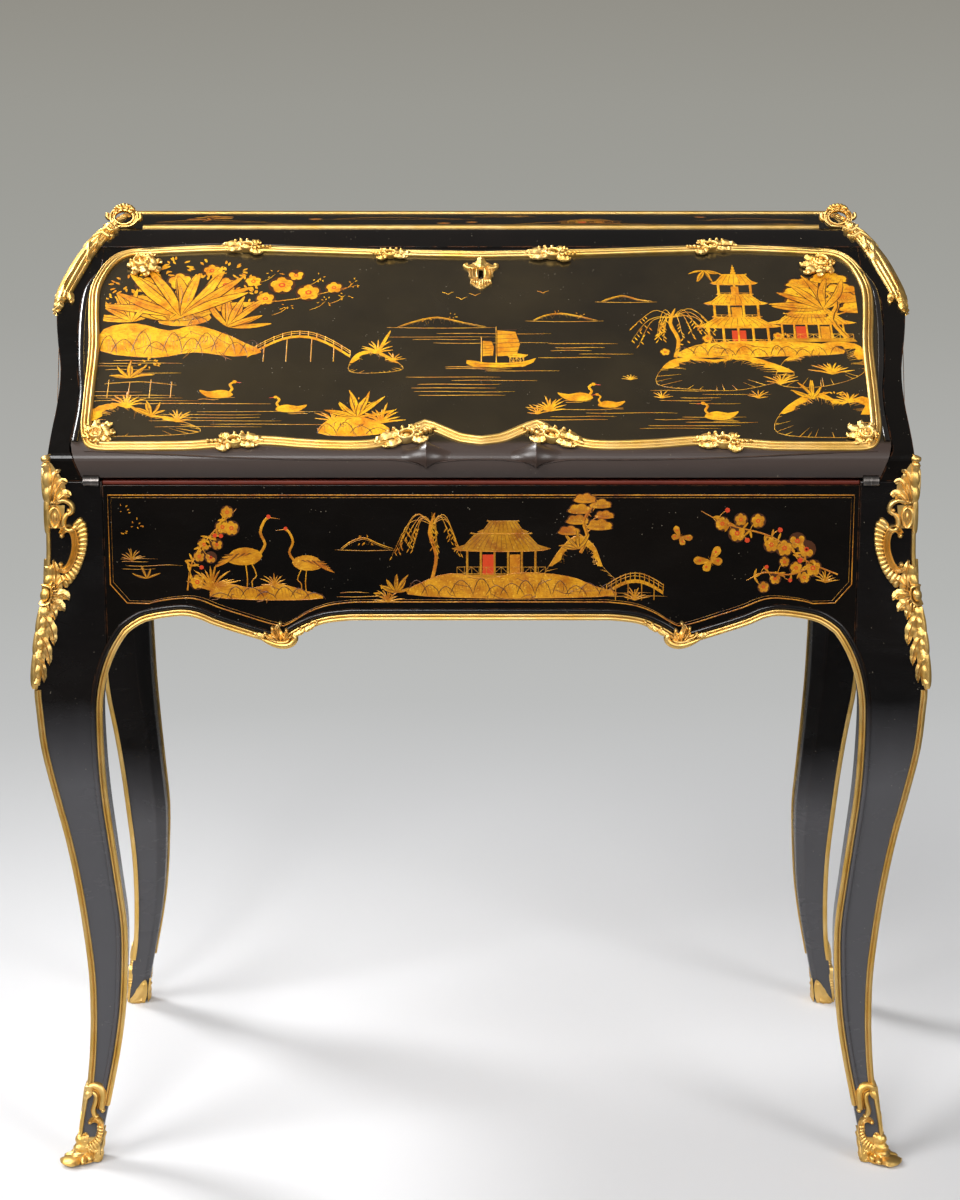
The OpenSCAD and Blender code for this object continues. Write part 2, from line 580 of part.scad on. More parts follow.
module top_border() {
    x1 = half_w - shoulder_in - 2;
    x0 = x1 - border_w;
    y0 = top_front + 5;
    y1 = half_d - 1.5;
    ring_x = x1 + 1.5 - 2 * ring_a - 1;
    color(gilt) translate([0, 0, desk_h]) {
        slab(-ring_x, ring_x, y0, y0 + border_w, 0, border_t);
        difference() {
            slab(-x1, x1, y0 + border_w + 14, y1, 0, border_t);
            slab(-x0, x0, y0, y1 - border_w, -1, border_t + 1);
        }
    }
}
leaf_outline = loop([[-31, 16], [-20, 4], [-10, -4], [2, -6], [11, -1], [17, 8], [8, 12], [0, 17],
    [-12, 15], [-20, 18]], 3);
module apron_leaf() {
    color(gilt) translate([0.536 * post_in, -half_d - fillet_t - seat, writing_h - cusp_drop + 4])
        rotate([90, 0, 0]) linear_extrude(5) polygon(leaf_outline);
}

// Inner fittings

unit_w2 = inner_w2 - 0.3;
tier_front = -half_d + tier_h * cos_a / sin_a + drawer_room;
tier_z = writing_h + tier_h;
divider_t = inner_t + 2;
drawer_w = (2 * unit_w2 - 2 * inner_t - 2 * divider_t) / 3;
module lower_tier() {
    color(inner_wood) {
        slab(-unit_w2, unit_w2, tier_front, back_y, writing_h, writing_h + inner_t);
        slab(-unit_w2, unit_w2, tier_front, back_y, tier_z - inner_t, tier_z);
        both_sides() {
            slab(unit_w2 - inner_t, unit_w2, tier_front, back_y, writing_h + inner_t, tier_z - inner_t);
            slab(drawer_w / 2, drawer_w / 2 + divider_t, tier_front, back_y,
                 writing_h + inner_t, tier_z - inner_t);
        }
    }
}
nest_front = rail_back + nest_gap;
holes = 5;
hole_w = (2 * unit_w2 - (holes + 1) * inner_t) / holes;
module pigeonholes() {
    valance_t = 4;
    arch_r = 0.73 * hole_w;
    arch_top = top_z - 11;
    color(inner_wood) {
        for (i = [0 : holes]) slab(-unit_w2 + i * (hole_w + inner_t), -unit_w2 + i * (hole_w + inner_t) + inner_t,
                                   nest_front, back_y, tier_z, top_z);
        difference() {
            slab(-unit_w2, unit_w2, nest_front, nest_front + valance_t, arch_top - 30, top_z);
            for (i = [0 : holes - 1])
                translate([-unit_w2 + inner_t + hole_w / 2 + i * (hole_w + inner_t), nest_front - 1,
                           arch_top - arch_r])
                    rotate([-90, 0, 0]) cylinder(h = valance_t + 2, r = arch_r);
        }
    }
}
partition_x = well_w2 + 12;
module well_partitions() {
    color(inner_wood) both_sides()
        slab(partition_x, partition_x + 8, -half_d + apron_t, half_d - apron_t, bottom_z + bottom_t, bed_z);
}
module cover_runners() {
    color(inner_wood) both_sides()
        slab(well_w2 - 12, partition_x, -half_d + apron_t + 4, half_d - apron_t, bed_z - 8, bed_z);
}
cover_z = writing_h - 0.4;
module well_cover() {
    color(red_ledge) slab(-well_w2 + drawer_gap, well_w2 - drawer_gap, well_y + 0.5, tier_front + 6,
                          bed_z + 0.3, cover_z);
}
module cover_pull() {
    color(gilt) translate([0, well_y + 20, cover_z]) rotate_extrude()
        polygon([[0, 0], [3, 0], [3, 1.5], [7, 3], [7.5, 4], [6, 5], [0, 5.2]]);
}
module drawer(x) {
    g = drawer_gap;
    wall = 6;
    z0 = writing_h + inner_t + g;
    z1 = tier_z - inner_t - g;
    x0 = x - drawer_w / 2 + g;
    x1 = x + drawer_w / 2 - g;
    color(inner_wood) difference() {
        slab(x0, x1, tier_front, back_y - 5, z0, z1);
        slab(x0 + wall, x1 - wall, tier_front + front_t, back_y - 5 - wall, z0 + 4, z1 + 1);
    }
}
module knob(x) {
    r = knob_d / 2;
    color(gilt) translate([x, tier_front, writing_h + tier_h / 2]) rotate([90, 0, 0]) rotate_extrude()
        polygon([[0, 0], [0.7 * r, 0], [0.6 * r, 1.5], [0.45 * r, 4], [0.8 * r, 6.5], [r, 9],
                 [0.85 * r, 12], [0.45 * r, 13.6], [0, 14]]);
}
drawer_x = drawer_w + divider_t;

// The fall and what is on it

fall_section = concat([[hinge_free + 0.4, 0], [fall_len + past, 0]], reversed(face_line), [lip_low]);
lock_low = 0.8124 * fall_len;
lock_high = 0.988 * fall_len - 0.6;
key_u = lock_low + 17;
lock_t = 12;
leather_top = lock_low - 12;
module key_slot(w, h, low, high) {
    slab(-w / 2, w / 2, key_u - h / 2, key_u + h / 2, low, high);
}
module fall_hinge_cut() {
    on_slope() slab(hinge_x - 0.2, hinge_x + hinge_len + 0.2, 0, leaf_len + 6.2, -1, leaf_t + 0.1);
    at_hinge(hinge_x - 0.4, hinge_x + hinge_len + 0.4, hinge_clear);
}
module fall_board() {
    x = inner_w2 - leather_margin - 12;
    color(lacquer) difference() {
        intersection() {
            on_slope() translate([0, 0, -1]) linear_extrude(4 * fall_t) polygon(fall_outline);
            on_slope() along_x() polygon(fall_section);
        }
        on_slope() slab(-x, x, leather_margin, leather_top, -1, leather_t);
        on_slope() slab(-32, 32, lock_low, fall_len + 10, -1, lock_t);
        on_slope() key_slot(4, 17, lock_t - 1, 4 * fall_t);
        both_sides() fall_hinge_cut();
        both_sides() turned_corner();
    }
}
module writing_leather() {
    x = inner_w2 - leather_margin - 12.3;
    color(hide) on_slope() slab(-x, x, leather_margin + 0.3, leather_top - 0.3, 0.1, leather_t);
}
module fall_frame() {
    color(gilt) intersection() {
        through_face() difference() {
            polygon(frame_outer);
            polygon(frame_inner);
        }
        face_skin(0, frame_t);
    }
}
// Clasps: share of the inner width, share of the fall's length, half width, half height
clasps = [[-0.62, 0.986, 23, 10], [-0.24, 0.95, 17, 11], [0.19, 0.95, 26, 10], [0.61, 0.986, 23, 10],
    [-0.91, 0.915, 19, 18], [0.91, 0.915, 19, 18], [-0.61, 0.085, 22, 10], [-0.19, 0.11, 24, 12],
    [0.18, 0.11, 24, 12], [0.6, 0.085, 24, 10], [-0.965, 0.11, 17, 17], [0.965, 0.11, 17, 17]];
module fall_clasps() {
    color(gilt) intersection() {
        through_face() for (c = clasps)
            translate([c[0] * inner_w2, c[1] * fall_len]) polygon(oval(c[2], c[3]));
        face_skin(frame_t + seat, frame_t + clasp_t);
    }
}
shield_half = [[0, -27], [8, -21], [13, -13], [10, -6], [16, 1], [16, 9], [21, 18], [14, 24], [6, 21], [0, 27]];
module escutcheon() {
    color(gilt) intersection() {
        through_face() translate([0, key_u]) difference() {
            polygon(concat(smooth(shield_half, 3), mirrored([for (i = [1 : len(shield_half) * 3 - 4])
                smooth(shield_half, 3)[i]])));
            square([6, 15], center = true);
        }
        face_skin(seat, 3);
    }
}
bolt_low = lock_low + 0.56 * (lock_high - lock_low);
module lock_case() {
    color(steel) on_slope() {
        difference() {
            slab(-31.7, 31.7, lock_low + 0.3, lock_high, 0.1, lock_t - 0.3);
            slab(-bolt_w - 0.2, bolt_w + 0.2, bolt_low - 2, lock_high + 1, 3, 8.4);
        }
        translate([0, key_u, lock_t - 0.4]) cylinder(h = 8, r = 1.2);
    }
}
module lock_bolt() { color(steel) on_slope() slab(-bolt_w, bolt_w, bolt_low, lock_high - 0.4, 3.2, 8.2); }
module hinge_case_leaf() {
    mid = hinge_x + knuckle_l;
    end = hinge_x + hinge_len;
    color(gilt) union() {
        slab(hinge_x, mid, -half_d, -half_d + leaf_len, writing_h - leaf_t, writing_h);
        slab(hinge_x, end, -half_d + hinge_clear, -half_d + leaf_len, writing_h - leaf_t, writing_h);
        at_hinge(hinge_x, mid, knuckle_r);
        at_hinge(hinge_x, end - 0.2, hinge_pin_r);
    }
}
module hinge_fall_leaf() {
    mid = hinge_x + knuckle_l + 0.2;
    end = hinge_x + hinge_len;
    color(gilt) difference() {
        union() {
            on_slope() slab(mid, end, 0, leaf_len + 6, 0, leaf_t);
            on_slope() slab(hinge_x, end, hinge_clear, leaf_len + 6, 0, leaf_t);
            at_hinge(mid, end, knuckle_r);
        }
        at_hinge(mid - 1, end + 1, hinge_pin_r + fit);
    }
}
module across(yz, x0, x1, r) {
    translate([x0, yz[0], yz[1]]) rotate([0, 90, 0]) cylinder(h = x1 - x0, r = r);
}
module stay_stud() {
    color(steel) {
        across(stud_yz, stay_x - stay_t / 2 - 0.5, inner_w2, stud_r);
        across(stud_yz, stay_x - stay_t / 2 - 2.5, stay_x - stay_t / 2 - 0.5, stud_r * 2);
        across(stud_yz, stay_x + stay_t / 2 + 0.5, inner_w2, stud_r * 2);
    }
}
module stay_bracket() {
    x = stay_x + stay_t / 2 + 0.5;
    u = stay_reach * cos(fall_angle - pivot_turn);
    head = stay_x - stay_t / 2 - 0.5;
    color(steel) union() {
        on_slope() slab(head - 2, x + 4, u - 16, u + 16, -2, 0);
        on_slope() translate([x, u, 0]) rotate([90, 0, 90]) linear_extrude(4) hull() {
            translate([0, -pivot_off]) circle(r = 5.5, $fn = 32);
            translate([-12, -1]) square([24, 1]);
        }
        across(pivot_yz, head, x + 2, pivot_pin_r);
        across(pivot_yz, head - 2, head, pivot_pin_r + 2);
    }
}
module stay() {
    color(steel) translate([stay_x, pivot_yz[0], pivot_yz[1]]) rotate([stay_turn, 0, 0])
        along_x(stay_t) difference() {
            union() {
                circle(r = stay_w / 2);
                translate([0, -stay_w / 2]) square([slot_far + 0.5, stay_w]);
                translate([slot_far + 0.5, 0]) circle(r = stay_w / 2);
            }
            circle(r = pivot_pin_r + fit);
            for (d = [slot_near, slot_far]) translate([d, 0]) circle(r = stud_r + 0.2);
            translate([slot_near, -stud_r - 0.2]) square([slot_far - slot_near, 2 * stud_r + 0.4]);
        }
}

front_leg();  // leg_front_left
mirror([1, 0, 0]) front_leg();  // leg_front_right
mirror([0, 1, 0]) leg();  // leg_back_left
mirror([0, 1, 0]) mirror([1, 0, 0]) leg();  // leg_back_right
front_apron();
back_apron();
mirror([1, 0, 0]) side_apron();  // side_apron_left
side_apron();  // side_apron_right
bottom_board();
writing_bed();
mirror([1, 0, 0]) side_panel();  // side_panel_left
side_panel();  // side_panel_right
back_panel();
top_board();
top_rail();
knee_mount();  // knee_mount_front_left
mirror([1, 0, 0]) knee_mount();  // knee_mount_front_right
mirror([0, 1, 0]) knee_mount();  // knee_mount_back_left
mirror([0, 1, 0]) mirror([1, 0, 0]) knee_mount();  // knee_mount_back_right
shoe();  // shoe_front_left
mirror([1, 0, 0]) shoe();  // shoe_front_right
mirror([0, 1, 0]) shoe();  // shoe_back_left
mirror([0, 1, 0]) mirror([1, 0, 0]) shoe();  // shoe_back_right
shoulder_mount();  // shoulder_mount_left
mirror([1, 0, 0]) shoulder_mount();  // shoulder_mount_right
corner_ring();  // corner_ring_left
mirror([1, 0, 0]) corner_ring();  // corner_ring_right
top_border();
four_corners() arris_fillet();  // arris_fillets
front_fillet();  // front_edge_fillet
mirror([0, 1, 0]) front_fillet();  // back_edge_fillet
both_sides() side_fillet();  // side_edge_fillets
both_sides() apron_leaf();  // apron_leaves
lower_tier();
pigeonholes();
well_partitions();
cover_runners();
both_sides() hinge_case_leaf();  // hinge_case_leaves
both_sides() stay_stud();  // stay_studs
lock_keeper();
fall_board();
fall_frame();
fall_clasps();
escutcheon();
lock_case();
writing_leather();
both_sides() hinge_fall_leaf();  // hinge_fall_leaves
both_sides() stay_bracket();  // stay_brackets
lock_bolt();
mirror([1, 0, 0]) stay();  // stay_left
stay();  // stay_right
drawer(-drawer_x);  // drawer_left
drawer(0);  // drawer_centre
drawer(drawer_x);  // drawer_right
knob(-drawer_x);  // knob_left
knob(0);  // knob_centre
knob(drawer_x);  // knob_right
well_cover();
cover_pull();
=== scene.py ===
import math
import random

import bmesh
import bpy
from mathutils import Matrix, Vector


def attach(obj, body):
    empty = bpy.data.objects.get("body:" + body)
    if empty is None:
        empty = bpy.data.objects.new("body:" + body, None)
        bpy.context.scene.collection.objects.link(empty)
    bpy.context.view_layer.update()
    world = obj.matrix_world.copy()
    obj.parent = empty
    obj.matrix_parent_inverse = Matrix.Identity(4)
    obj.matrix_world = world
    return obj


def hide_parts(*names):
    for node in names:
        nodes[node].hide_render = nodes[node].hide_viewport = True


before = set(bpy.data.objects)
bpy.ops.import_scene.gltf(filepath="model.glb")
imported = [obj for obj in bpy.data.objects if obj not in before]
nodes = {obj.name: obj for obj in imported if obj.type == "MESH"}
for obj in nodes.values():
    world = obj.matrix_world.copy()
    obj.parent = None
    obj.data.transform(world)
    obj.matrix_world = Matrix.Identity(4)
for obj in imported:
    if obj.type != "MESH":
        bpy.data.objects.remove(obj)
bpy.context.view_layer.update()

mm = 0.001
scene = bpy.context.scene

# Sizes of the desk that the ornament follows, in mm
desk = {"halfW": 424, "halfD": 220, "writingH": 720, "topH": 935, "slope": 33.5, "fallLen": 322.5,
        "fallT": 22, "crown": 4, "lipH": 20, "lipRound": 24, "innerW": 396, "postIn": 371, "postInY": 167,
        "postW": 53, "earZ": 546, "footForward": 14, "kneeOut": 16.5, "ankleIn": 23, "kneeW": 64, "ankleW": 24}
sinA = math.sin(math.radians(desk["slope"]))
cosA = math.cos(math.radians(desk["slope"]))


# Curves and tables: paths are lists of flat or spatial vectors

def turns(count):
    return [2 * math.pi * k / count for k in range(count)]


def oval(x, y, wide, tall, count):
    return [Vector((x + wide * math.cos(a), y + tall * math.sin(a))) for a in turns(count)]


def squareTo(heading):
    return Vector((-heading.y, heading.x))


def headingAt(path, k, closed=False):
    if closed:
        return (path[(k + 1) % len(path)] - path[k - 1]).normalized()
    return (path[min(k + 1, len(path) - 1)] - path[max(k - 1, 0)]).normalized()


def mirrored(path):
    # the path with its mirror image before it, both meeting at the path's own end
    return [Vector((-p.x, p.y)) for p in path] + path[-2::-1]


def smoothCurve(points, steps, closed=False):
    points = [Vector(p) for p in points]
    last = len(points) - 1
    found = []
    for i in range(len(points) if closed else last):
        if closed:
            a, b, c, d = (points[(i + k) % len(points)] for k in (-1, 0, 1, 2))
        else:
            a, b, c, d = points[max(i - 1, 0)], points[i], points[i + 1], points[min(i + 2, last)]
        for k in range(steps):
            t = k / steps
            found.append(0.5 * (2 * b + (c - a) * t + (2 * a - 5 * b + 4 * c - d) * t * t
                                + (3 * b - a - 3 * c + d) * t ** 3))
    return found if closed else found + [points[-1]]


def lookUp(table, key, column=1):
    if key <= table[0][0]:
        return table[0][column]
    for low, high in zip(table, table[1:]):
        if key <= high[0]:
            t = (key - low[0]) / max(high[0] - low[0], 1e-9)
            return low[column] + (high[column] - low[column]) * t
    return table[-1][column]


def pointAt(path, t):
    # a point at share t of a path, and the direction there
    place = min(max(t, 0), 1) * (len(path) - 1)
    i = min(int(place), len(path) - 2)
    return path[i].lerp(path[i + 1], place - i), (path[i + 1] - path[i]).normalized()


def evenPath(path, count):
    # the same path with its points at equal distances
    sums = [0]
    for a, b in zip(path, path[1:]):
        sums.append(sums[-1] + (b - a).length)
    found, j = [], 0
    for k in range(count):
        want = sums[-1] * k / (count - 1)
        while j < len(path) - 2 and sums[j + 1] < want:
            j += 1
        t = (want - sums[j]) / max(sums[j + 1] - sums[j], 1e-9)
        found.append(path[j].lerp(path[j + 1], min(max(t, 0), 1)))
    return found


def ease(t):
    t = min(max(t, 0), 1)
    return t * t * (3 - 2 * t)


# Surfaces of the desk: each turns a place on the drawing (mm) and a height into a point

def slopePoint(x, u, v):
    return Vector((x, -desk["halfD"] + u * cosA - v * sinA, desk["writingH"] + u * sinA + v * cosA)) * mm


def faceHeight(u):
    share = (u - desk["lipRound"]) / (desk["fallLen"] - desk["lipRound"])
    if share >= 0:
        return desk["fallT"] + desk["crown"] * math.sin(math.pi * min(share, 1))
    return desk["fallT"]


def onFall(x, u, h):
    return slopePoint(x, u, faceHeight(u) + h)


def onFrieze(x, z, h):
    return Vector((x, -desk["halfD"] - h, z)) * mm


def onBack(x, z, h):
    return Vector((-x, desk["halfD"] + h, z)) * mm


def onTop(x, y, h):
    return Vector((x, y, desk["topH"] + h)) * mm


# Legs: share of the ear's height, splay from ankle to knee, width from ankle to knee
legRows = [(0.004, 0.43, -0.05), (0.046, 0.354, -0.06), (0.092, 0.266, -0.02), (0.147, 0.127, 0),
           (0.211, 0.043, 0.09), (0.284, 0, 0.2), (0.366, 0.013, 0.3), (0.458, 0.114, 0.4375),
           (0.549, 0.253, 0.47), (0.641, 0.443, 0.54), (0.733, 0.684, 0.675), (0.824, 0.899, 0.84),
           (0.897, 0.975, 0.912), (0.938, 1, 1), (1, 0.937, 1)]
postRows = [(0, 1), (0.12, 0.82), (0.25, 0.54), (0.42, 0.22), (0.6, 0.05), (1, 0)]


def makeLegTable():
    reach = desk["kneeOut"] + desk["ankleIn"]
    earSplay = -desk["ankleIn"] + 0.937 * reach
    rows = []
    for share, splay, width in legRows:
        grown = desk["ankleW"] + width * (desk["kneeW"] - desk["ankleW"])
        fullWidth = desk["postW"] + earSplay if share == 1 else grown
        rows.append((share * desk["earZ"], -desk["ankleIn"] + splay * reach, fullWidth))
    low = smoothCurve(rows, 3)
    rise = desk["writingH"] - desk["earZ"]
    posts = smoothCurve([(desk["earZ"] + share * rise, part * earSplay) for share, part in postRows], 2)
    return [tuple(p) for p in low] + [(p.x, p.y, desk["postW"] + p.y) for p in posts[1:]]


legTable = makeLegTable()


def legCorner(z):
    # outer corner of the front left leg, its width, and how far the inner edges lag behind
    splay, width = lookUp(legTable, z, 1), lookUp(legTable, z, 2)
    forward = desk["footForward"] * max(0, 1 - z / (0.73 * desk["earZ"])) ** 1.3
    hold = ease((z / desk["earZ"] - 0.6) / 0.4)
    return Vector((-desk["halfW"] - splay, -desk["halfD"] - splay - forward)), width, hold * max(0, splay)


def cornerPoint(s, z, h, rounding=2.5):
    # round the corner of the front left leg: s over the front face, or minus s over the side
    corner, width, lag = legCorner(min(z, desk["writingH"]))
    tilt = math.atan2(lag, width)
    front = Vector((math.cos(tilt), math.sin(tilt)))
    side = Vector((math.sin(tilt), math.cos(tilt)))
    frontOut, sideOut = Vector((front.y, -front.x)), Vector((-side.y, side.x))
    if s >= rounding:
        flat = corner + front * s + frontOut * h
    elif s <= -rounding:
        flat = corner - side * s + sideOut * h
    else:
        t = (s / rounding + 1) / 2
        outward = sideOut.lerp(frontOut, t).normalized()
        flat = corner + (side * rounding).lerp(front * rounding, t) * 0.6 + outward * (h + 0.25 * rounding)
    return Vector((flat.x, flat.y, z)) * mm


def cornerChart(flipX, flipY):
    def chart(s, z, h):
        p = cornerPoint(s, z, h)
        return Vector((p.x * flipX, p.y * flipY, p.z))
    return chart


corners = {"front_left": (1, 1), "front_right": (-1, 1), "back_left": (1, -1), "back_right": (-1, -1)}

flankRows = [(424, 720), (422.95, 758.5), (420.5, 790.1), (422.25, 815.3), (430.9, 844.9), (435.5, 872),
             (427.45, 895.3), (416.4, 914.2), (396, 935)]
flankTable = [(p.y, p.x) for p in smoothCurve(flankRows, 3)]


def flankX(z):
    return lookUp(flankTable, z)


def sideOut(y, z, h):
    # on the left flank of the upper case, or on the left side apron below it
    x = flankX(z) if z > desk["writingH"] else desk["halfW"]
    return Vector((-x - h, y, z)) * mm


# Materials

class Recipe:
    # a material's nodes, with a short word for each kind
    def __init__(self, name):
        self.material = bpy.data.materials.new(name)
        self.material.use_nodes = True
        self.tree = self.material.node_tree
        self.shader = self.tree.nodes["Principled BSDF"]

    def put(self, value, socket):
        if isinstance(value, bpy.types.NodeSocket):
            self.tree.links.new(value, socket)
        else:
            socket.default_value = (*value, 1) if socket.type == "RGBA" else value

    def set(self, values):
        for key, value in values.items():
            self.put(value, self.shader.inputs[key])

    def node(self, kind, *sources, **settings):
        # settings are the node's own, or its input sockets by name
        made = self.tree.nodes.new("ShaderNode" + kind)
        for key, value in settings.items():
            if hasattr(made, key):
                setattr(made, key, value)
            else:
                self.put(value, made.inputs[key])
        for value, socket in zip(sources, made.inputs):
            self.put(value, socket)
        return made

    def where(self):
        return self.node("TexCoord").outputs["Object"]

    def noise(self, scale, detail=4, rough=0.5, distortion=0, stretch=None):
        where = self.where()
        if stretch:
            where = self.node("Mapping", Vector=where, Scale=stretch).outputs[0]
        return self.node("TexNoise", Vector=where, Scale=scale, Detail=detail, Roughness=rough,
                         Distortion=distortion).outputs["Fac"]

    def remap(self, value, low, high, toLow=0.0, toHigh=1.0):
        return self.node("MapRange", value, low, high, toLow, toHigh).outputs["Result"]

    def mix(self, factor, first, second):
        mixed = self.node("Mix", data_type="RGBA")
        for value, place in ((factor, 0), (first, 6), (second, 7)):
            self.put(value, mixed.inputs[place])
        return mixed.outputs[2]

    def maths(self, operation, first, second):
        return self.node("Math", first, second, operation=operation).outputs[0]

    def times(self, first, second):
        return self.maths("MULTIPLY", first, second)

    def plus(self, first, *others):
        for other in others:
            first = self.maths("ADD", first, other)
        return first

    def bump(self, height, distance, strength):
        made = self.node("Bump", Height=height, Strength=strength, Distance=distance)
        self.set({"Normal": made.outputs[0]})

    def edgeWear(self, radius):
        # 1 on rounded edges, from the angle between the normal and a softened normal
        soft = self.node("Bevel", samples=4, Radius=radius).outputs[0]
        sharp = self.node("NewGeometry").outputs["Normal"]
        likeness = self.node("VectorMath", soft, sharp, operation="DOT_PRODUCT").outputs["Value"]
        return self.remap(likeness, 0.995, 0.9)


def lacquerMaterial(name, look):
    m, look = Recipe(name), {**anyLacquer, **look}
    base = m.mix(m.remap(m.noise(5, 5, 0.6), 0.35, 0.7), look["dark"], look["light"])
    place = m.node("SeparateXYZ", m.where()).outputs
    if "lip" in look:
        # the fall's face is greenish black, its lip below a matt brown, with painted shade darkening it towards its
        # foot
        lip = m.mix(m.remap(place["Z"], *look["lipRise"]), look["lipFoot"], look["lip"])
        base = m.mix(m.remap(place["Z"], *look["lipEnd"]), lip, base)
    if "foot" in look:
        # painted reflection of the pale floor: the legs turn grey towards the foot, and on the back ones it starts
        # lower down, as painted shade under the back apron
        ragged = m.times(m.noise(9, 4, 0.6, 0, (1, 1, 0.3)), 0.05)
        rise = m.plus(place["Z"], ragged, m.times(place["Y"], 0.42))
        base = m.mix(m.remap(rise, *look["footRise"]), look["foot"], base)
    rubbed = m.times(m.edgeWear(0.0016), m.remap(m.noise(60, 5, 0.7), 0.44, 0.6))
    base = m.mix(m.times(rubbed, look["wear"]), base, look["worn"])
    dots = m.node("TexVoronoi", Vector=m.where(), Scale=240).outputs["Distance"]
    grains = m.times(m.remap(dots, 0.14, 0.06), m.remap(m.noise(70, 2), 0.6, 0.66))
    base = m.mix(m.times(grains, look["dust"]), base, (0.42, 0.36, 0.26))
    smear = m.remap(m.noise(14, 6, 0.65, 0.6, (1, 1, 2.2)), 0.3, 0.75, look["rough"], look["rough"] + 0.16)
    rough = m.plus(smear, m.times(grains, 0.3))
    if "lip" in look:
        rough = m.plus(rough, m.remap(place["Z"], *look["lipEnd"], 0.36, 0.0))
    warped = m.mix(0.035, m.where(), (0.5, 0.5, 0.5))
    cracks = m.node("TexVoronoi", feature="DISTANCE_TO_EDGE", Vector=warped, Scale=46).outputs["Distance"]
    height = m.plus(m.times(m.remap(cracks, 0.0, 0.018), 0.35), m.times(m.noise(26, 3), look["wave"]),
                    m.times(m.noise(420, 2), 0.25))
    m.set({"Base Color": base, "Roughness": rough, "Specular IOR Level": look["gloss"],
           "Coat Weight": look["coat"], "Coat Roughness": look["coatRough"]})
    m.bump(height, 0.00016, look["bump"])
    return m.material


anyLacquer = {"dark": (0.0028, 0.0022, 0.0018), "light": (0.007, 0.0048, 0.0036), "worn": (0.10, 0.035, 0.012),
              "wear": 0.85, "dust": 0.4, "coat": 0, "coatRough": 0.07, "gloss": 0.5, "bump": 0.55}
lacquerLooks = {
    "caseLacquer": {"dark": (0.0016, 0.0013, 0.0011), "light": (0.0042, 0.003, 0.0022), "rough": 0.12,
                    "wave": 2.0, "gloss": 0.22},
    "topLacquer": {"rough": 0.045, "wave": 0.2, "bump": 0.1},
    "rimLacquer": {"wear": 0.3, "rough": 0.14, "coat": 0.4, "wave": 0.6},
    # legLacquer's foot colour is a painted reflection of the floor, greying the lower legs
    "legLacquer": {"dark": (0.002, 0.0017, 0.0017), "light": (0.0045, 0.0034, 0.003),
                   "foot": (0.067, 0.066, 0.071), "footRise": (0.338, 0.428), "worn": (0.10, 0.04, 0.016),
                   "rough": 0.17, "coat": 0.09, "wave": 2.2, "gloss": 0.26},
    # fallLacquer's lip foot colour is painted shade along the lip's lower edge
    "fallLacquer": {"dark": (0.012, 0.0085, 0.004), "light": (0.027, 0.019, 0.008), "lip": (0.032, 0.019, 0.014),
                    "lipFoot": (0.006, 0.003, 0.002), "lipRise": (0.719, 0.737), "lipEnd": (0.7545, 0.7575),
                    "worn": (0.09, 0.04, 0.016), "wear": 0.6, "dust": 0.45, "rough": 0.16, "coat": 0.2,
                    "coatRough": 0.26, "wave": 2.0, "gloss": 0.42},
    "lipLacquer": {"dark": (0.024, 0.014, 0.010), "light": (0.040, 0.025, 0.019), "worn": (0.07, 0.035, 0.025),
                   "wear": 0.9, "dust": 0.3, "rough": 0.3, "coat": 0.1, "wave": 1.4}}


def ormoluMaterial():
    m = Recipe("giltBronze")
    # painted shade: ambient occlusion darkens the hollows of the chasing to dark brown, and makes them rougher
    openness = m.node("AmbientOcclusion", samples=6, Distance=0.0028).outputs["AO"]
    raised = m.remap(openness, 0.16, 0.62)
    bright = m.mix(m.remap(m.noise(30, 4, 0.6), 0.3, 0.7), (0.72, 0.43, 0.09), (0.82, 0.56, 0.21))
    base = m.mix(raised, (0.15, 0.062, 0.012), bright)
    base = m.mix(m.times(m.edgeWear(0.0007), 0.35), base, (0.95, 0.74, 0.38))
    matt = m.remap(m.noise(90, 4, 0.7), 0.3, 0.75, 0.35, 0.54)
    m.set({"Base Color": base, "Metallic": 1.0,
           "Roughness": m.plus(matt, m.times(m.maths("SUBTRACT", 1.0, raised), 0.2))})
    m.bump(m.plus(m.times(m.noise(900, 2), 0.6), m.noise(220, 3)), 0.00022, 0.5)
    return m.material


def goldPaintMaterial(name, look):
    # the paint attribute: red channel how dense, green how red, blue how dark
    m = Recipe(name)
    paint = m.node("Attribute", attribute_name="paint").outputs["Color"]
    dense, red, dark = m.node("SeparateColor", paint).outputs
    speck, cloud = m.noise(620, 3, 0.75), m.noise(55, 4, 0.6)
    gaps = m.plus(m.times(speck, 0.9), m.times(cloud, 0.35))
    cover = m.remap(m.maths("SUBTRACT", m.times(dense, look["dense"]), gaps), -0.1, 0.12)
    gold = m.mix(m.remap(cloud, 0.4, 0.66), look["gold"], look["amber"])
    strokes = m.remap(m.noise(210, 5, 0.7, 0.8, (1, 1, 3.2)), 0.5, 0.68)
    gold = m.mix(m.times(strokes, 0.62), gold, (0.20, 0.055, 0.006))
    flecks = m.remap(m.noise(480, 2, 0.6), 0.6, 0.7)
    gold = m.mix(m.times(flecks, 0.5), gold, look["fleck"])
    gold = m.mix(dark, m.mix(red, gold, (0.50, 0.035, 0.010)), (0.055, 0.016, 0.004))
    m.set({"Base Color": m.mix(cover, (0.014, 0.011, 0.006), gold), "Metallic": m.times(cover, 0.15),
           "Roughness": m.remap(m.noise(40, 3), 0.3, 0.7, 0.3, 0.46), "Specular IOR Level": 0.35,
           "Coat Weight": 0.1, "Coat Roughness": 0.09})
    m.bump(m.plus(speck, m.times(cloud, 2.0)), 0.0002, 0.35)
    return m.material


goldLooks = {"fallGold": {"gold": (0.82, 0.41, 0.012), "amber": (0.56, 0.18, 0.004), "fleck": (0.95, 0.58, 0.06),
                          "dense": 1.35},
             "friezeGold": {"gold": (0.56, 0.25, 0.008), "amber": (0.33, 0.10, 0.003), "fleck": (0.85, 0.48, 0.05),
                            "dense": 1.2}}


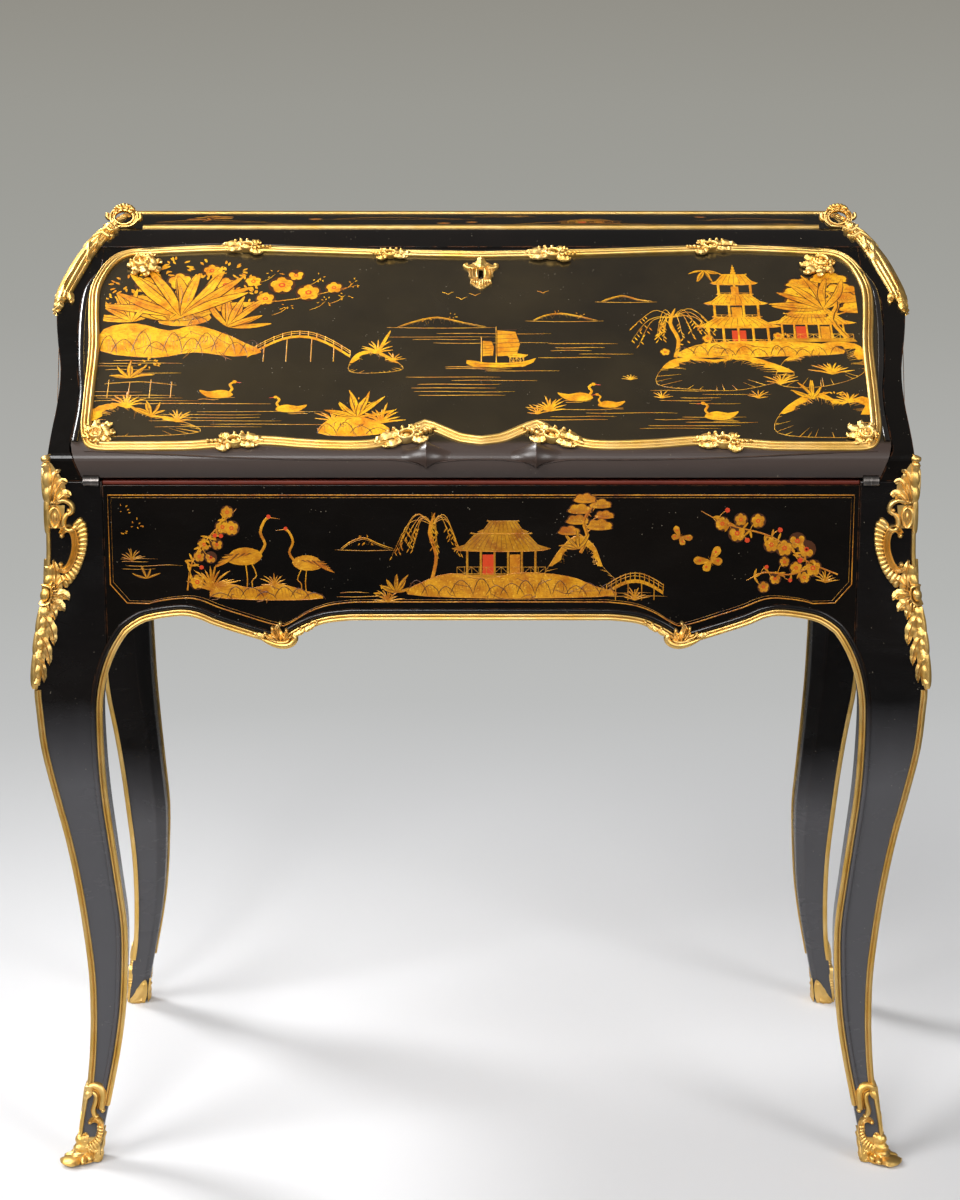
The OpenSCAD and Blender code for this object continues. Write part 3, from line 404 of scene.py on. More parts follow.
def plainMaterial(name, look):
    m = Recipe(name)
    stretch = look.get("stretch")
    grain = m.noise(look["scale"], 6, 0.65, look.get("warp", 0), stretch)
    fine = m.noise(look["scale"] * 7, 3, 0.6, 0, stretch)
    base = m.mix(m.remap(grain, 0.32, 0.68), look["first"], look["second"])
    base = m.mix(m.times(m.edgeWear(0.0012), look["wear"]), base, look["worn"])
    m.set({"Base Color": base, "Metallic": look.get("metal", 0.0), "Coat Weight": look.get("coat", 0.0),
           "Specular IOR Level": look.get("gloss", 0.5),
           "Roughness": m.remap(fine, 0.3, 0.7, look["rough"], look["rough"] + 0.16)})
    m.bump(m.plus(grain, m.times(fine, 0.8)), look["depth"], 0.5)
    return m.material


plainLooks = {
    "waxedWood": {"first": (0.20, 0.085, 0.028), "second": (0.36, 0.17, 0.062), "scale": 9, "stretch": (1, 9, 9),
                  "warp": 1.2, "rough": 0.32, "coat": 0.2, "depth": 0.0003, "wear": 0.5, "worn": (0.5, 0.28, 0.12)},
    "redLacquer": {"first": (0.075, 0.010, 0.005), "second": (0.13, 0.020, 0.008), "scale": 12, "rough": 0.4,
                   "gloss": 0.25, "depth": 0.0002, "wear": 0.8, "worn": (0.045, 0.010, 0.006)},
    "greySteel": {"first": (0.10, 0.09, 0.085), "second": (0.21, 0.19, 0.175), "scale": 120, "rough": 0.3,
                  "metal": 1.0, "depth": 0.00015, "wear": 0.6, "worn": (0.42, 0.39, 0.36)},
    "brownHide": {"first": (0.07, 0.022, 0.012), "second": (0.12, 0.042, 0.02), "scale": 260, "rough": 0.4,
                  "depth": 0.0006, "wear": 0.3, "worn": (0.2, 0.09, 0.05)}}

finishes = {"giltBronze": ormoluMaterial()}
for make, looks in ((lacquerMaterial, lacquerLooks), (goldPaintMaterial, goldLooks), (plainMaterial, plainLooks)):
    finishes.update({name: make(name, look) for name, look in looks.items()})
print("materials made")


# Shapes: each is made in a small bmesh, and poured into the tray of its piece

class Tray:
    # gathers the points, faces and paint of many small shapes, drawn on a surface, that make one piece
    def __init__(self, chart=None):
        self.points, self.faces, self.paints, self.chart = [], [], [], chart

    def pour(self, shape, paint=(1, 0, 0)):
        bmesh.ops.recalc_face_normals(shape, faces=shape.faces)
        start = len(self.points)
        shape.verts.index_update()
        self.points += [v.co.copy() for v in shape.verts]
        self.paints += [paint] * len(shape.verts)
        self.faces += [[v.index + start for v in f.verts] for f in shape.faces]
        shape.free()

    def flipped(self, flipX, flipY):
        other = Tray()
        other.points = [Vector((p.x * flipX, p.y * flipY, p.z)) for p in self.points]
        other.faces = self.faces if flipX * flipY > 0 else [f[::-1] for f in self.faces]
        other.paints = self.paints
        return other


def gather(parts):
    whole = Tray()
    for part in parts:
        start = len(whole.points)
        whole.points += part.points
        whole.paints += part.paints
        whole.faces += [[i + start for i in f] for f in part.faces]
    return whole


def placePiece(name, mesh, look, body, stands, crease):
    mesh.materials.append(finishes[look])
    piece = bpy.data.objects.new(name, mesh)
    scene.collection.objects.link(piece)
    mesh.shade_smooth()
    mesh.set_sharp_from_angle(angle=math.radians(crease))
    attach(piece, body)
    if stands:
        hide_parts(stands)
    return piece


def finishPiece(name, tray, look, body="case", stands=None, crease=50):
    mesh = bpy.data.meshes.new(name)
    mesh.from_pydata(tray.points, [], tray.faces)
    paint = mesh.color_attributes.new("paint", "FLOAT_COLOR", "POINT")
    paint.data.foreach_set("color", [c for p in tray.paints for c in (*p, 1.0)])
    return placePiece(name, mesh, look, body, stands, crease)


def giltPiece(name, tray, stands, body="case", crease=50):
    finishPiece(name, tray, "giltBronze", body, stands, crease)


def gridPlace(v, across, along):
    return round((v.co.x + 1) / 2 * along), round((v.co.y + 1) / 2 * across)


def gridOf(across, along):
    # a flat grid whose points know their column and row
    shape = bmesh.new()
    bmesh.ops.create_grid(shape, x_segments=along, y_segments=across, size=1)
    return shape, {v: gridPlace(v, across, along) for v in shape.verts}


def weld(shape):
    bmesh.ops.remove_doubles(shape, verts=shape.verts, dist=2e-7)


def sealed(shape):
    weld(shape)
    rims = [e for e in shape.edges if e.is_boundary]
    if rims:
        bmesh.ops.holes_fill(shape, edges=rims, sides=0)
    return shape


def sweep(tray, path, section, size, paint=(1, 0, 0), closed=False):
    # carries a closed section of (across, up) along a path on the surface; size may be a function of the share run
    count, around = len(path), len(section)
    last = count if closed else count - 1
    shape, place = gridOf(around, last)
    sizes = [size(i / last) if callable(size) else size for i in range(count)]
    sides = [squareTo(headingAt(path, i, closed)) for i in range(count)]
    for v, (i, j) in place.items():
        half, high = sizes[i % count]
        across, up = section[j % around]
        spot = path[i % count] + sides[i % count] * across * half
        v.co = tray.chart(spot.x, spot.y, up * high)
    tray.pour(sealed(shape), paint)


def patch(tray, outline, height, across, along, floor):
    # a closed relief: outline(a, t) is its place, height(a, t) its face, a from -1 to 1, t from 0 to 1
    shape, _ = gridOf(across, along)
    raised = bmesh.ops.extrude_face_region(shape, geom=shape.faces[:])
    top = {e for e in raised["geom"] if isinstance(e, bmesh.types.BMVert)}
    for v in shape.verts:
        i, j = gridPlace(v, across, along)
        a, t = 2 * j / across - 1, i / along
        v.co = tray.chart(*outline(a, t), height(a, t) if v in top else floor)
    weld(shape)
    tray.pour(shape)


def bead(tray, s, t, wide, tall, high, detail=8, sink=0.25):
    # a rounded boss on the surface
    shape = bmesh.new()
    bmesh.ops.create_uvsphere(shape, u_segments=detail + 2, v_segments=max(4, detail // 2 + 2), radius=1)
    for v in shape.verts:
        v.co = tray.chart(s + v.co.x * wide, t + v.co.y * tall, high * (v.co.z - sink))
    tray.pour(shape)


def bothHalves(half):
    # a section from its half, which ends on the middle
    return half + [(-a, up) for a, up in half[-2::-1]]


domeSection = bothHalves([(1, -0.3), (1, 0.1), (0.8, 0.62), (0.4, 0.92), (0, 1)])
ridgeSection = bothHalves([(1, -0.3), (1, 0.15), (0.55, 0.42), (0.16, 0.9), (0, 1)])
channelSection = bothHalves([(1, -0.3), (1, 0.8), (0.86, 1), (0.7, 0.85), (0.5, 0.4), (0, 0.25)])


def leaf(tray, spine, width, lobes=3, high=2.4, curl=1.0, edge=0.35, across=8, along=18, vein=0.5, sink=-0.5):
    # a ribbed leaf with lobed edges on a spine of points (s, t); width may be a number or a function of t
    path = evenPath(smoothCurve(spine, 8), 40)
    widthAt = width if callable(width) else (lambda t: width * (math.sin(math.pi * min(1, t * 0.86 + 0.14)) ** 0.7))

    def outline(a, t):
        middle, heading = pointAt(path, t)
        lobe = 1 - edge * (1 - math.sin(math.pi * (t * 0.999 * lobes % 1.0)) ** 0.6)
        reach = widthAt(t) * (lobe if t < 0.985 else 0.3)
        return middle + squareTo(heading) * a * reach + heading * abs(a) * reach * 0.125

    def height(a, t):
        phase = (t * lobes) % 1.0
        rib = math.sin(math.pi * phase) ** 0.8
        dome = 0.45 * (1 - abs(a) ** 2.2) * (0.6 + 0.4 * rib)
        flute = 0.16 * (0.5 + 0.5 * math.cos(abs(a) * math.pi * 2.2 - phase * 2.4)) * rib
        crest = 0.3 * vein * math.exp(-(a / 0.14) ** 2)
        rise = 0.6 * curl * max(0, (t - 0.72) / 0.28) ** 2
        fade = 0.35 + 0.65 * math.sin(math.pi * min(1, 0.18 + t)) ** 0.5 if t > 0.82 else 1
        return high * (0.30 + dome + flute + crest + rise) * fade
    patch(tray, outline, height, across, along, sink)


def scrollBand(tray, points, wide, high, section=domeSection, steps=6, ends=(0.35, 0.35), even=0):
    # a C or S shaped band; ends give the width share left at each end
    path = smoothCurve(points, steps)

    def size(t):
        share = ends[0] * (1 - t) + ends[1] * t
        share = share + (1 - share) * math.sin(math.pi * t) ** 0.6
        return wide * share, high * (0.55 + 0.45 * share)
    sweep(tray, evenPath(path, even) if even else path, section, size)


def leaves(tray, rows, lobes, high, curl, rib=None, **look):
    # leaves of one kind from (spine, width), each with a rib of (width, height, ends) laid along it
    for spine, wide in rows:
        leaf(tray, spine, wide, lobes, high, curl, **look)
        if rib:
            scrollBand(tray, spine, *rib[:2], steps=4, ends=rib[2])


def beads(tray, rows, high, **look):
    for s, t, wide, tall in rows:
        bead(tray, s, t, wide, tall, high, **look)


def gadroons(tray, inner, outer, count, high):
    # a row of petals from an inner line to an outer line, as on a shell or a gadrooned border
    def gapAt(path, t):
        return (pointAt(path, min(1, t + 0.5 / count))[0] - pointAt(path, max(0, t - 0.5 / count))[0]).length
    plump = 0.95 * 0.8 / 0.62
    for t in [(k + 0.5) / count for k in range(count)]:
        low, top = pointAt(inner, t)[0], pointAt(outer, t)[0]
        narrow, broad = gapAt(inner, t), gapAt(outer, t)

        def size(t, narrow=narrow, broad=broad):
            half = 0.5 * (narrow + (broad - narrow) * t) * (0.86 + 0.3 * math.sin(math.pi * t))
            cap = math.sqrt(max(0, 1 - max(0, (t - 0.82) / 0.18) ** 2))
            return half * plump * max(cap, 0.02), high * (0.4 + 0.6 * math.sin(math.pi * (0.15 + 0.7 * t)))
        sweep(tray, smoothCurve([low, low.lerp(top, 0.55), top], 5), domeSection, size)


# Boards: the CAD's own, with softened edges

def softenEdges(piece, width, crease=28):
    edges = piece.modifiers.new("softEdges", "BEVEL")
    edges.width = width * mm
    edges.segments = 2
    edges.limit_method = "ANGLE"
    edges.angle_limit = math.radians(crease)


def dressNode(node, look, body, soft, crease=28):
    mesh = nodes[node].data.copy()
    mesh.name = node + "_dressed"
    mesh.materials.clear()
    form = bmesh.new()
    form.from_mesh(mesh)
    bmesh.ops.remove_doubles(form, verts=form.verts, dist=1e-5)
    bmesh.ops.recalc_face_normals(form, faces=form.faces)
    form.to_mesh(mesh)
    form.free()
    piece = placePiece(node + "_dressed", mesh, look, body, node, crease)
    softenEdges(piece, soft, crease)
    piece.modifiers.new("evenNormals", "WEIGHTED_NORMAL").keep_sharp = True


def legSkin():
    # the CAD's leg section, drawn closer so that its twisted sides shade smoothly
    heights = [z for z, _, _ in legTable]
    heights = sorted(heights + [(a + b) / 2 for a, b in zip(heights, heights[1:])])
    sides = [(side, k / cuts) for side, cuts in enumerate((6, 3, 2, 3, 6)) for k in range(cuts)]
    shape, place = gridOf(len(sides), len(heights) - 1)
    for v, (i, j) in place.items():
        corner, width, lag = legCorner(heights[i])
        ring = [(0, 0), (width, lag), (width, 0.75 * width), (0.75 * width, width), (lag, width)]
        side, share = sides[j % len(sides)]
        spot = corner + Vector(ring[side]).lerp(Vector(ring[(side + 1) % 5]), share)
        v.co = Vector((*spot, heights[i])) * mm
    tray = Tray()
    tray.pour(sealed(shape))
    return tray


legTray = legSkin()
for name, flips in corners.items():
    leg = finishPiece("leg_" + name + "_skin", legTray.flipped(*flips), "legLacquer", "case", "leg_" + name, 28)
    softenEdges(leg, 1.4)


# The case and its inside

woodwork = {
    "caseLacquer": ["front_apron", "back_apron", "side_apron_left", "side_apron_right", "side_panel_left",
                    "side_panel_right", "back_panel", "top_rail"],
    "topLacquer": ["top_board"],
    "fallLacquer": ["fall_board"],
    "redLacquer": ["writing_bed"],
    "waxedWood": ["bottom_board", "lower_tier", "pigeonholes", "well_partitions", "cover_runners",
                  "drawer_left", "drawer_centre", "drawer_right", "well_cover"]}
bodyOf = {"fall_board": "fall", "drawer_left": "drawer_left", "drawer_centre": "drawer_centre",
          "drawer_right": "drawer_right", "well_cover": "well_cover"}
for look, names in woodwork.items():
    for name in names:
        soft = 0.6 if look == "waxedWood" else 1.4
        dressNode(name, look, bodyOf.get(name, "case"), soft, 12 if name.startswith("side_panel") else 28)
print("boards dressed")

metalwork = {
    "giltBronze": ["knob_left", "knob_centre", "knob_right", "cover_pull"],
    "greySteel": ["hinge_case_leaves", "hinge_fall_leaves", "stay_studs", "stay_brackets", "stay_left", "stay_right",
                  "lock_keeper", "lock_case", "lock_bolt"],
    "brownHide": ["writing_leather"]}
for look, names in metalwork.items():
    for name in names:
        if not nodes[name].data.materials:
            nodes[name].data.materials.append(None)
        for slot in nodes[name].material_slots:
            slot.material = finishes[look]
print("metalwork finished")


# Gilt reeding on the legs, the aprons, the fall and the top

def ribbon(tray, stations, section):
    # carries a closed section of (inward, outward) mm along stations of point and two directions
    shape, place = gridOf(len(section), len(stations) - 1)
    for v, (i, j) in place.items():
        spot, inward, outward = stations[i]
        a, f = section[j % len(section)]
        v.co = (spot + inward * a + outward * f) * mm
    tray.pour(sealed(shape))


trim = {"edgeSection": [(5.0, 0.0), (4.9, 0.8), (4.4, 1.5), (3.7, 1.6), (3.0, 1.2), (2.6, 0.4), (2.4, 0.4),
                        (2.0, 1.5), (1.2, 2.3), (0.2, 2.5), (-0.8, 2.0), (-1.5, 1.1), (-1.8, 0), (-1.8, -1.4),
                        (-1.4, -2.8), (-0.1, -2.8), (-0.1, 0.0)],
        "arrisSection": bothHalves([(4.7, -0.1), (4.6, 0.8), (4.1, 1.5), (3.4, 1.6), (2.8, 1.2), (2.5, 0.4), (2.3, 0.4),
                                    (1.9, 1.5), (1.1, 2.3), (0, 2.6)]),
        "beadSection": [(10.4, -0.2), (10.1, 0.9), (9.3, 1.7), (8, 2.0), (6.7, 1.7), (5.9, 0.9), (5.6, -0.2)],
        "apronOuter": [(1, 174), (0.959, 156.4), (0.916, 144), (0.876, 138.3), (0.802, 134.5), (0.757, 137),
                       (0.713, 144), (0.647, 152.3), (0.59, 159), (0.536, 165)],
        "apronMiddle": [(0.536, 165), (0.501, 156.5), (0.468, 149.5), (0.42, 142.5), (0.36, 139.5), (0.3, 139),
                        (0, 139)],
        "sideCurve": [(1, 174), (0.93, 157), (0.84, 143), (0.72, 136), (0.58, 135.5), (0.42, 140), (0.25, 147),
                      (0.1, 151), (0, 151.5)]}


def halfEdge(rows, reach):
    return [Vector((p.x * reach, desk["writingH"] - p.y)) for p in smoothCurve(rows, 4)]


# lower edges of the front and side aprons, from left to right
frontEdge = mirrored(halfEdge(trim["apronOuter"], desk["postIn"]) + halfEdge(trim["apronMiddle"], desk["postIn"])[1:])
sideEdge = mirrored(halfEdge(trim["sideCurve"], desk["postInY"]))


def legStations(side, low=52, high=545):
    found = []
    for z in [row[0] for row in legTable if low <= row[0] <= high]:
        corner, width, lag = legCorner(z)
        spot = corner + (Vector((lag, width)) if side else Vector((width, lag)))
        inward = (corner - spot).normalized()
        outward = squareTo(inward) * (-1 if side else 1)
        found.append((Vector((*spot, z)), Vector((*inward, 0)), Vector((*outward, 0))))
    return found


def edgeStations(edge, outward):
    return [(spot, outward.cross(headingAt(edge, k)).normalized(), outward) for k, spot in enumerate(edge)]


def mirrorStations(stations, flipX, flipY):
    return [tuple(Vector((v.x * flipX, v.y * flipY, v.z)) for v in station) for station in stations[::-1]]


def softJoint(stations, at, reach=30, steps=8):
    # a soft bend where a leg's edge runs into the apron's
    corner = (stations[at - 1][0] + stations[at][0]) / 2
    first = [s for s in stations[:at] if (s[0] - corner).length > reach]
    last = [s for s in stations[at:] if (s[0] - corner).length > reach]
    a, b = first[-1], last[0]
    bend = []
    for t in [k / steps for k in range(1, steps)]:
        spot = a[0] * (1 - t) ** 2 + corner * 2 * t * (1 - t) + b[0] * t * t
        bend.append((spot, *((a[i] * (1 - t) + b[i] * t).normalized() for i in (1, 2))))
    return first + bend + last


def archLine(up, middle, down):
    return softJoint(softJoint(up + middle + down, len(up) + len(middle)), len(up))


up = legStations(False)
middle = edgeStations([Vector((p.x, -desk["halfD"], p.y)) for p in frontEdge], Vector((0, -1, 0)))
frontLine = archLine(up, middle, mirrorStations(up, -1, 1))
tray = Tray()
ribbon(tray, frontLine, trim["edgeSection"])
giltPiece("frontEdgeReed", tray, "front_edge_fillet")
giltPiece("backEdgeReed", tray.flipped(1, -1), "back_edge_fillet")

up = legStations(True)
middle = edgeStations([Vector((-desk["halfW"], -p.x, p.y)) for p in sideEdge], Vector((-1, 0, 0)))
tray = Tray()
ribbon(tray, archLine(mirrorStations(up, 1, -1)[::-1], middle, up[::-1]), trim["edgeSection"])
giltPiece("sideEdgeReeds", gather([tray, tray.flipped(-1, 1)]), "side_edge_fillets")

# dark bead of lacquer beside the front reeding
tray = Tray()
ribbon(tray, frontLine, trim["beadSection"])
finishPiece("apronBead", tray, "legLacquer")

tray = Tray(cornerChart(1, 1))
sweep(tray, [Vector((0, z)) for z, _, _ in legTable if 60 <= z <= 516], trim["arrisSection"], (1, 1))
giltPiece("arrisReeds", gather([tray.flipped(*flips) for flips in corners.values()]), "arris_fillets")

# Frame of the fall: outer reed, deep groove, two inner reeds. Its rows are (share of the width, mm, share of the rise)
frameLook = {"width": 11, "low": [(0, 0, 0.084), (0.055, 0, 0.097), (0.1, 0, 0.127), (0.138, 0, 0.154)],
             "up": [(0.138, 0, 0.154), (0.185, 0, 0.108), (0.25, 0, 0.0745), (0.318, 0, 0.065), (0.432, 0, 0.0708),
                    (0.546, 0, 0.084), (0.66, 0, 0.0708), (0.735, 0, 0.0625), (0.886, 0, 0.061), (1, -19, 0.0635),
                    (1, -7, 0.09), (1, -1.5, 0.155), (1, -0.5, 0.233), (1, 0, 0.31), (1, 1, 0.51), (1, 6, 0.665),
                    (1, 8, 0.783), (1, 2.5, 0.873), (1, -8, 0.947), (1, -24, 0.988), (1, -51, 1.0),
                    (0.677, 0, 1.0145), (0.48, 0, 1.007), (0.268, 0, 0.9935), (0, 0, 0.983)],
             "section": [(1.0, -0.3), (1.0, 1.6), (0.9, 2.9), (0.72, 3.7), (0.52, 3.9), (0.34, 3.4),
                         (0.24, 2.4), (0.18, 1.6), (0.1, 1.5), (0.04, 2.3), (-0.1, 3.1), (-0.24, 3.2),
                         (-0.36, 2.7), (-0.43, 1.8), (-0.5, 1.5), (-0.58, 2.1), (-0.72, 2.5), (-0.86, 2.2),
                         (-0.97, 1.2), (-1.0, 0.4), (-1.0, -0.3)]}


def fallPlaces(rows):
    return [(a * desk["innerW"] + b, c * desk["fallLen"]) for a, b, c in rows]


outer = smoothCurve(fallPlaces(frameLook["low"]), 3)[:-1] + smoothCurve(fallPlaces(frameLook["up"]), 4)
outer += [Vector((-p.x, p.y)) for p in outer[-2:0:-1]]
frameLine = [p + squareTo(headingAt(outer, k, True)) * frameLook["width"] / 2 for k, p in enumerate(outer)]
tray = Tray(onFall)
sweep(tray, frameLine, frameLook["section"], (frameLook["width"] / 2, 1), closed=True)
giltPiece("fallReeding", tray, "fall_frame", "fall", 65)

# Rounded lacquer edge of the fall, outside the frame
rimRows = [(1, 3.6, 0.1), (1, 3, 0.14), (1, 1.5, 0.233), (1, 2.5, 0.326), (1, 6, 0.404), (1, 9.5, 0.512),
           (1, 12, 0.62), (1, 13, 0.73), (1, 11, 0.8), (1, 5, 0.851), (1, -4, 0.9), (1, -16, 0.945),
           (1, -32, 0.978), (1, -53, 0.996), (0.783, 0, 1.0065), (0.677, 0, 1.0105), (0.48, 0, 1.0035),
           (0.268, 0, 0.991), (0, 0, 0.981)]
rim = smoothCurve(fallPlaces([(a, b - 1.2 * a, c) for a, b, c in rimRows]), 3)
tray = Tray(onFall)
sweep(tray, rim + [Vector((-p.x, p.y)) for p in rim[-2::-1]], domeSection, (3.2, 2.3))
finishPiece("fallRim", tray, "rimLacquer", "fall")

# Half-round beading round the top, set in from its edges
beadSection = [(1, -0.2), (1, 0.6), (0.9, 1.7), (0.62, 2.7), (0.2, 3.3), (-0.2, 3.3), (-0.62, 2.7), (-0.8, 1.9),
               (-0.86, 1.2), (-1, 1.1), (-1, -0.2)]
topLook = {"half": 4.0, "ringX": 357.5, "front": 5, "back": 1.5, "side": 394, "turnR": 9}
topFront = slopePoint(0, desk["fallLen"] + 26.5, desk["fallT"] + 5).y / mm
yFront = topFront + topLook["front"] + topLook["half"]
tray = Tray(onTop)
sweep(tray, [Vector((x, yFront)) for x in (-topLook["ringX"], 0, topLook["ringX"])], beadSection, (topLook["half"], 1))
xSide, turnR = topLook["side"] - topLook["half"], topLook["turnR"]
yBack = desk["halfD"] - topLook["back"] - topLook["half"]
run = [Vector((-xSide, topFront + 27)), Vector((-xSide, topFront + 60))]
run += [Vector((turnR - xSide - turnR * math.cos(a), yBack - turnR + turnR * math.sin(a)))
        for a in [math.radians(15 * k) for k in range(7)]]
run += [Vector((-p.x, p.y)) for p in run[::-1]]
sweep(tray, run, [(-a, up) for a, up in beadSection], (topLook["half"], 0.6))
giltPiece("topBeading", tray, "top_border")
print("reeding made")


# Knee mounts: a leafy shell, an open gadrooned scroll, a cabochon and falling leaves

def otherSide(chart):
    return lambda s, t, h: chart(-s, t, h)


def backing(tray, rows, high=1.3, across=10):
    # a thin plate under the leafwork, from rows of (t, s from, s to)
    def outline(a, t):
        place = t * (len(rows) - 1)
        i = min(int(place), len(rows) - 2)
        z, left, right = (low + (top - low) * (place - i) for low, top in zip(rows[i], rows[i + 1]))
        return left + (right - left) * (a + 1) / 2, z
    patch(tray, outline, lambda a, t: high, across, 4 * (len(rows) - 1), -0.3)


def evenLine(points, count):
    return evenPath(smoothCurve(points, 5), count)


def ringBand(tray, path, wide, high):
    sweep(tray, path, domeSection, (wide, high), closed=True)


def kneeHalf(tray):
    # shell of three leafy lobes, growing up the corner
    for spine, wide, high in [([(6, 698), (12, 704), (18, 708), (23, 706)], 5.2, 4.0),
                              ([(5, 699), (9, 711), (15, 720), (20, 719)], 5.4, 4.6),
                              ([(3, 701), (5, 717), (9, 729), (13.5, 731)], 4.6, 5.0)]:
        leaf(tray, spine, wide, 2, high, 1.3, 0.12, 10, vein=0.1)
        scrollBand(tray, [(s * 0.94, t - 0.6) for s, t in spine], 1.5, high + 2.4, ends=(0.3, 0.9))
    # neck scroll below the shell
    scrollBand(tray, [(3, 699), (9, 700), (16, 701), (22, 697), (23.5, 691), (19.5, 687)], 2.8, 5.0, ends=(0.7, 0.8))
    bead(tray, 20, 691, 2.4, 2.4, 5.5)
    scrollBand(tray, [(19, 688), (15.5, 683), (14.5, 677), (17, 672), (22, 671.5), (27, 675), (31, 680)], 3.0, 4.8,
               ends=(0.7, 0.5))
    # oval cartouche between the arris and the neck
    backing(tray, [(673, 0, 14), (684, 0, 15), (696, 0, 16)], 1.2, 6)
    ringBand(tray, oval(6.2, 684, 4.6, 10, 28), 1.7, 4.2)
    bead(tray, 6.2, 684, 2.6, 6.6, 3.8)
    # gadrooned outer border of the open scroll
    inner = evenLine([(24, 677), (27.0, 670), (28.0, 660), (27.0, 649), (23.5, 638), (18, 630), (12, 625)], 40)
    outer = evenLine([(31, 684), (36.5, 678), (38, 665), (36.5, 650), (32, 635), (26, 622), (18, 612)], 40)
    gadroons(tray, inner, outer, 15, 5.0)
    sweep(tray, [a.lerp(b, 0.42) for a, b in zip(inner, outer)], domeSection, lambda t: (4.4 - 1.0 * t, 3.6))
    # smooth inner band, curled at both ends
    scrollBand(tray, [(12, 668), (16.5, 673), (22.5, 671.5), (25.4, 664), (25.8, 655), (24, 646), (20.5, 637),
                      (15.5, 631.5), (10.5, 633.5)], 3.5, 6.4, channelSection, ends=(0.8, 0.8), even=46)
    bead(tray, 12.6, 665.6, 3.0, 3.0, 7.0)
    bead(tray, 11.4, 636.6, 2.7, 2.7, 6.6)
    # leaf under the opening and ruffles beside the cabochon
    leaves(tray, [([(7, 612), (7.5, 624), (6, 633), (4, 641)], 4.8), ([(8, 614), (14, 621), (21, 622)], 4.6),
                  ([(9, 607), (17, 607), (23, 602)], 5.0), ([(8, 601), (14, 597), (20, 591)], 4.8),
                  ([(5, 598), (9, 591), (12, 583)], 4.2)],
           2, 4.6, 1.3, (1.3, 6.6, (0.3, 0.8)), edge=0.14, across=10, along=16, vein=0.1)
    # flutes fanning out round the cabochon
    for turn in [math.radians(66 - 22 * k) for k in range(7)]:
        a = (5.6 * math.cos(turn), 607 + 9.8 * math.sin(turn))
        b = (11.0 * math.cos(turn), 606 + 16 * math.sin(turn))
        scrollBand(tray, [a, ((a[0] + b[0]) / 2 + 0.4, (a[1] + b[1]) / 2), b], 1.4, 5.0, steps=3, ends=(0.5, 0.8))
    # falling leaves
    leaves(tray, [([(2, 586), (8, 577), (13, 566), (14.5, 557)], 5.2),
                  ([(2, 566), (7, 556), (10.5, 546), (11.5, 537)], 4.4),
                  ([(1, 546), (4.5, 536), (7, 527), (7, 520)], 3.6)],
           3, 4.4, 1.2, (1.1, 6.2, (0.6, 0.3)), edge=0.2, across=10, along=22, vein=0.1)


def kneeMount():
    tray = Tray(cornerChart(1, 1))
    for rows in ([(697, -9, 9), (706, -17, 17), (715, -17, 17), (726, -12, 12), (738, -4, 4)],
                 [(583, -7, 7), (590, -13, 13), (600, -17, 17), (612, -15, 15), (622, -14, 14), (630, -5, 5)],
                 [(517, -3, 3), (535, -6, 6), (556, -8, 8), (574, -9, 9), (586, -6, 6)]):
        backing(tray, rows)
    kneeHalf(tray)
    tray.chart = otherSide(tray.chart)
    kneeHalf(tray)
    # pieces astride the corner
    tray.chart = cornerChart(1, 1)
    leaf(tray, [(0, 699), (0, 716), (0, 731), (0, 745)], lambda t: 6.0 - 3.4 * t, 3, 6.4, 1.6, 0.1, 12, 26)
    bead(tray, 0, 742, 4.0, 4.6, 9.5)
    bead(tray, 0, 736, 3.4, 5.0, 8.0)
    scrollBand(tray, [(0, 700), (0, 686), (0, 668)], 2.6, 5.6, ends=(0.8, 0.5))
    scrollBand(tray, [(0, 676), (0, 655), (0, 632), (0, 616)], 2.2, 3.6, ends=(0.8, 0.8))
    leaf(tray, [(0, 614), (0, 624), (0, 639)], 5.4, 2, 5.4, 0.6, 0.12, 10, 16)
    ringBand(tray, oval(0, 607, 5.2, 9.8, 32), 1.5, 6.4)
    bead(tray, 0, 607, 4.4, 8.8, 9.0, 12)
    for z, wide, fall in [(596, 5.6, 30), (574, 5.6, 30), (552, 5.0, 40)]:
        leaf(tray, [(0, z), (0, z - fall * 0.5), (0, z - fall)], wide, 3, 6.2, 1.2, 0.18, 12, 24)
        scrollBand(tray, [(0, z), (0, z - fall * 0.5), (0, z - fall + 2)], 1.1, 8.0, steps=4, ends=(0.6, 0.3))
    return tray


kneeTray = kneeMount()
for name, flips in corners.items():
    giltPiece("kneeMount_" + name, kneeTray.flipped(*flips), "knee_mount_" + name)


# Shoes: two open scrolls up the corner and a leafy toe, and a leaf on each inner face

def innerFoot(s, z, h):
    corner, width, _ = legCorner(z)
    return Vector((corner.x + s, corner.y + width + h, z)) * mm


def innerFootSide(s, z, h):
    corner, width, _ = legCorner(z)
    return Vector((corner.x + width + h, corner.y + s, z)) * mm


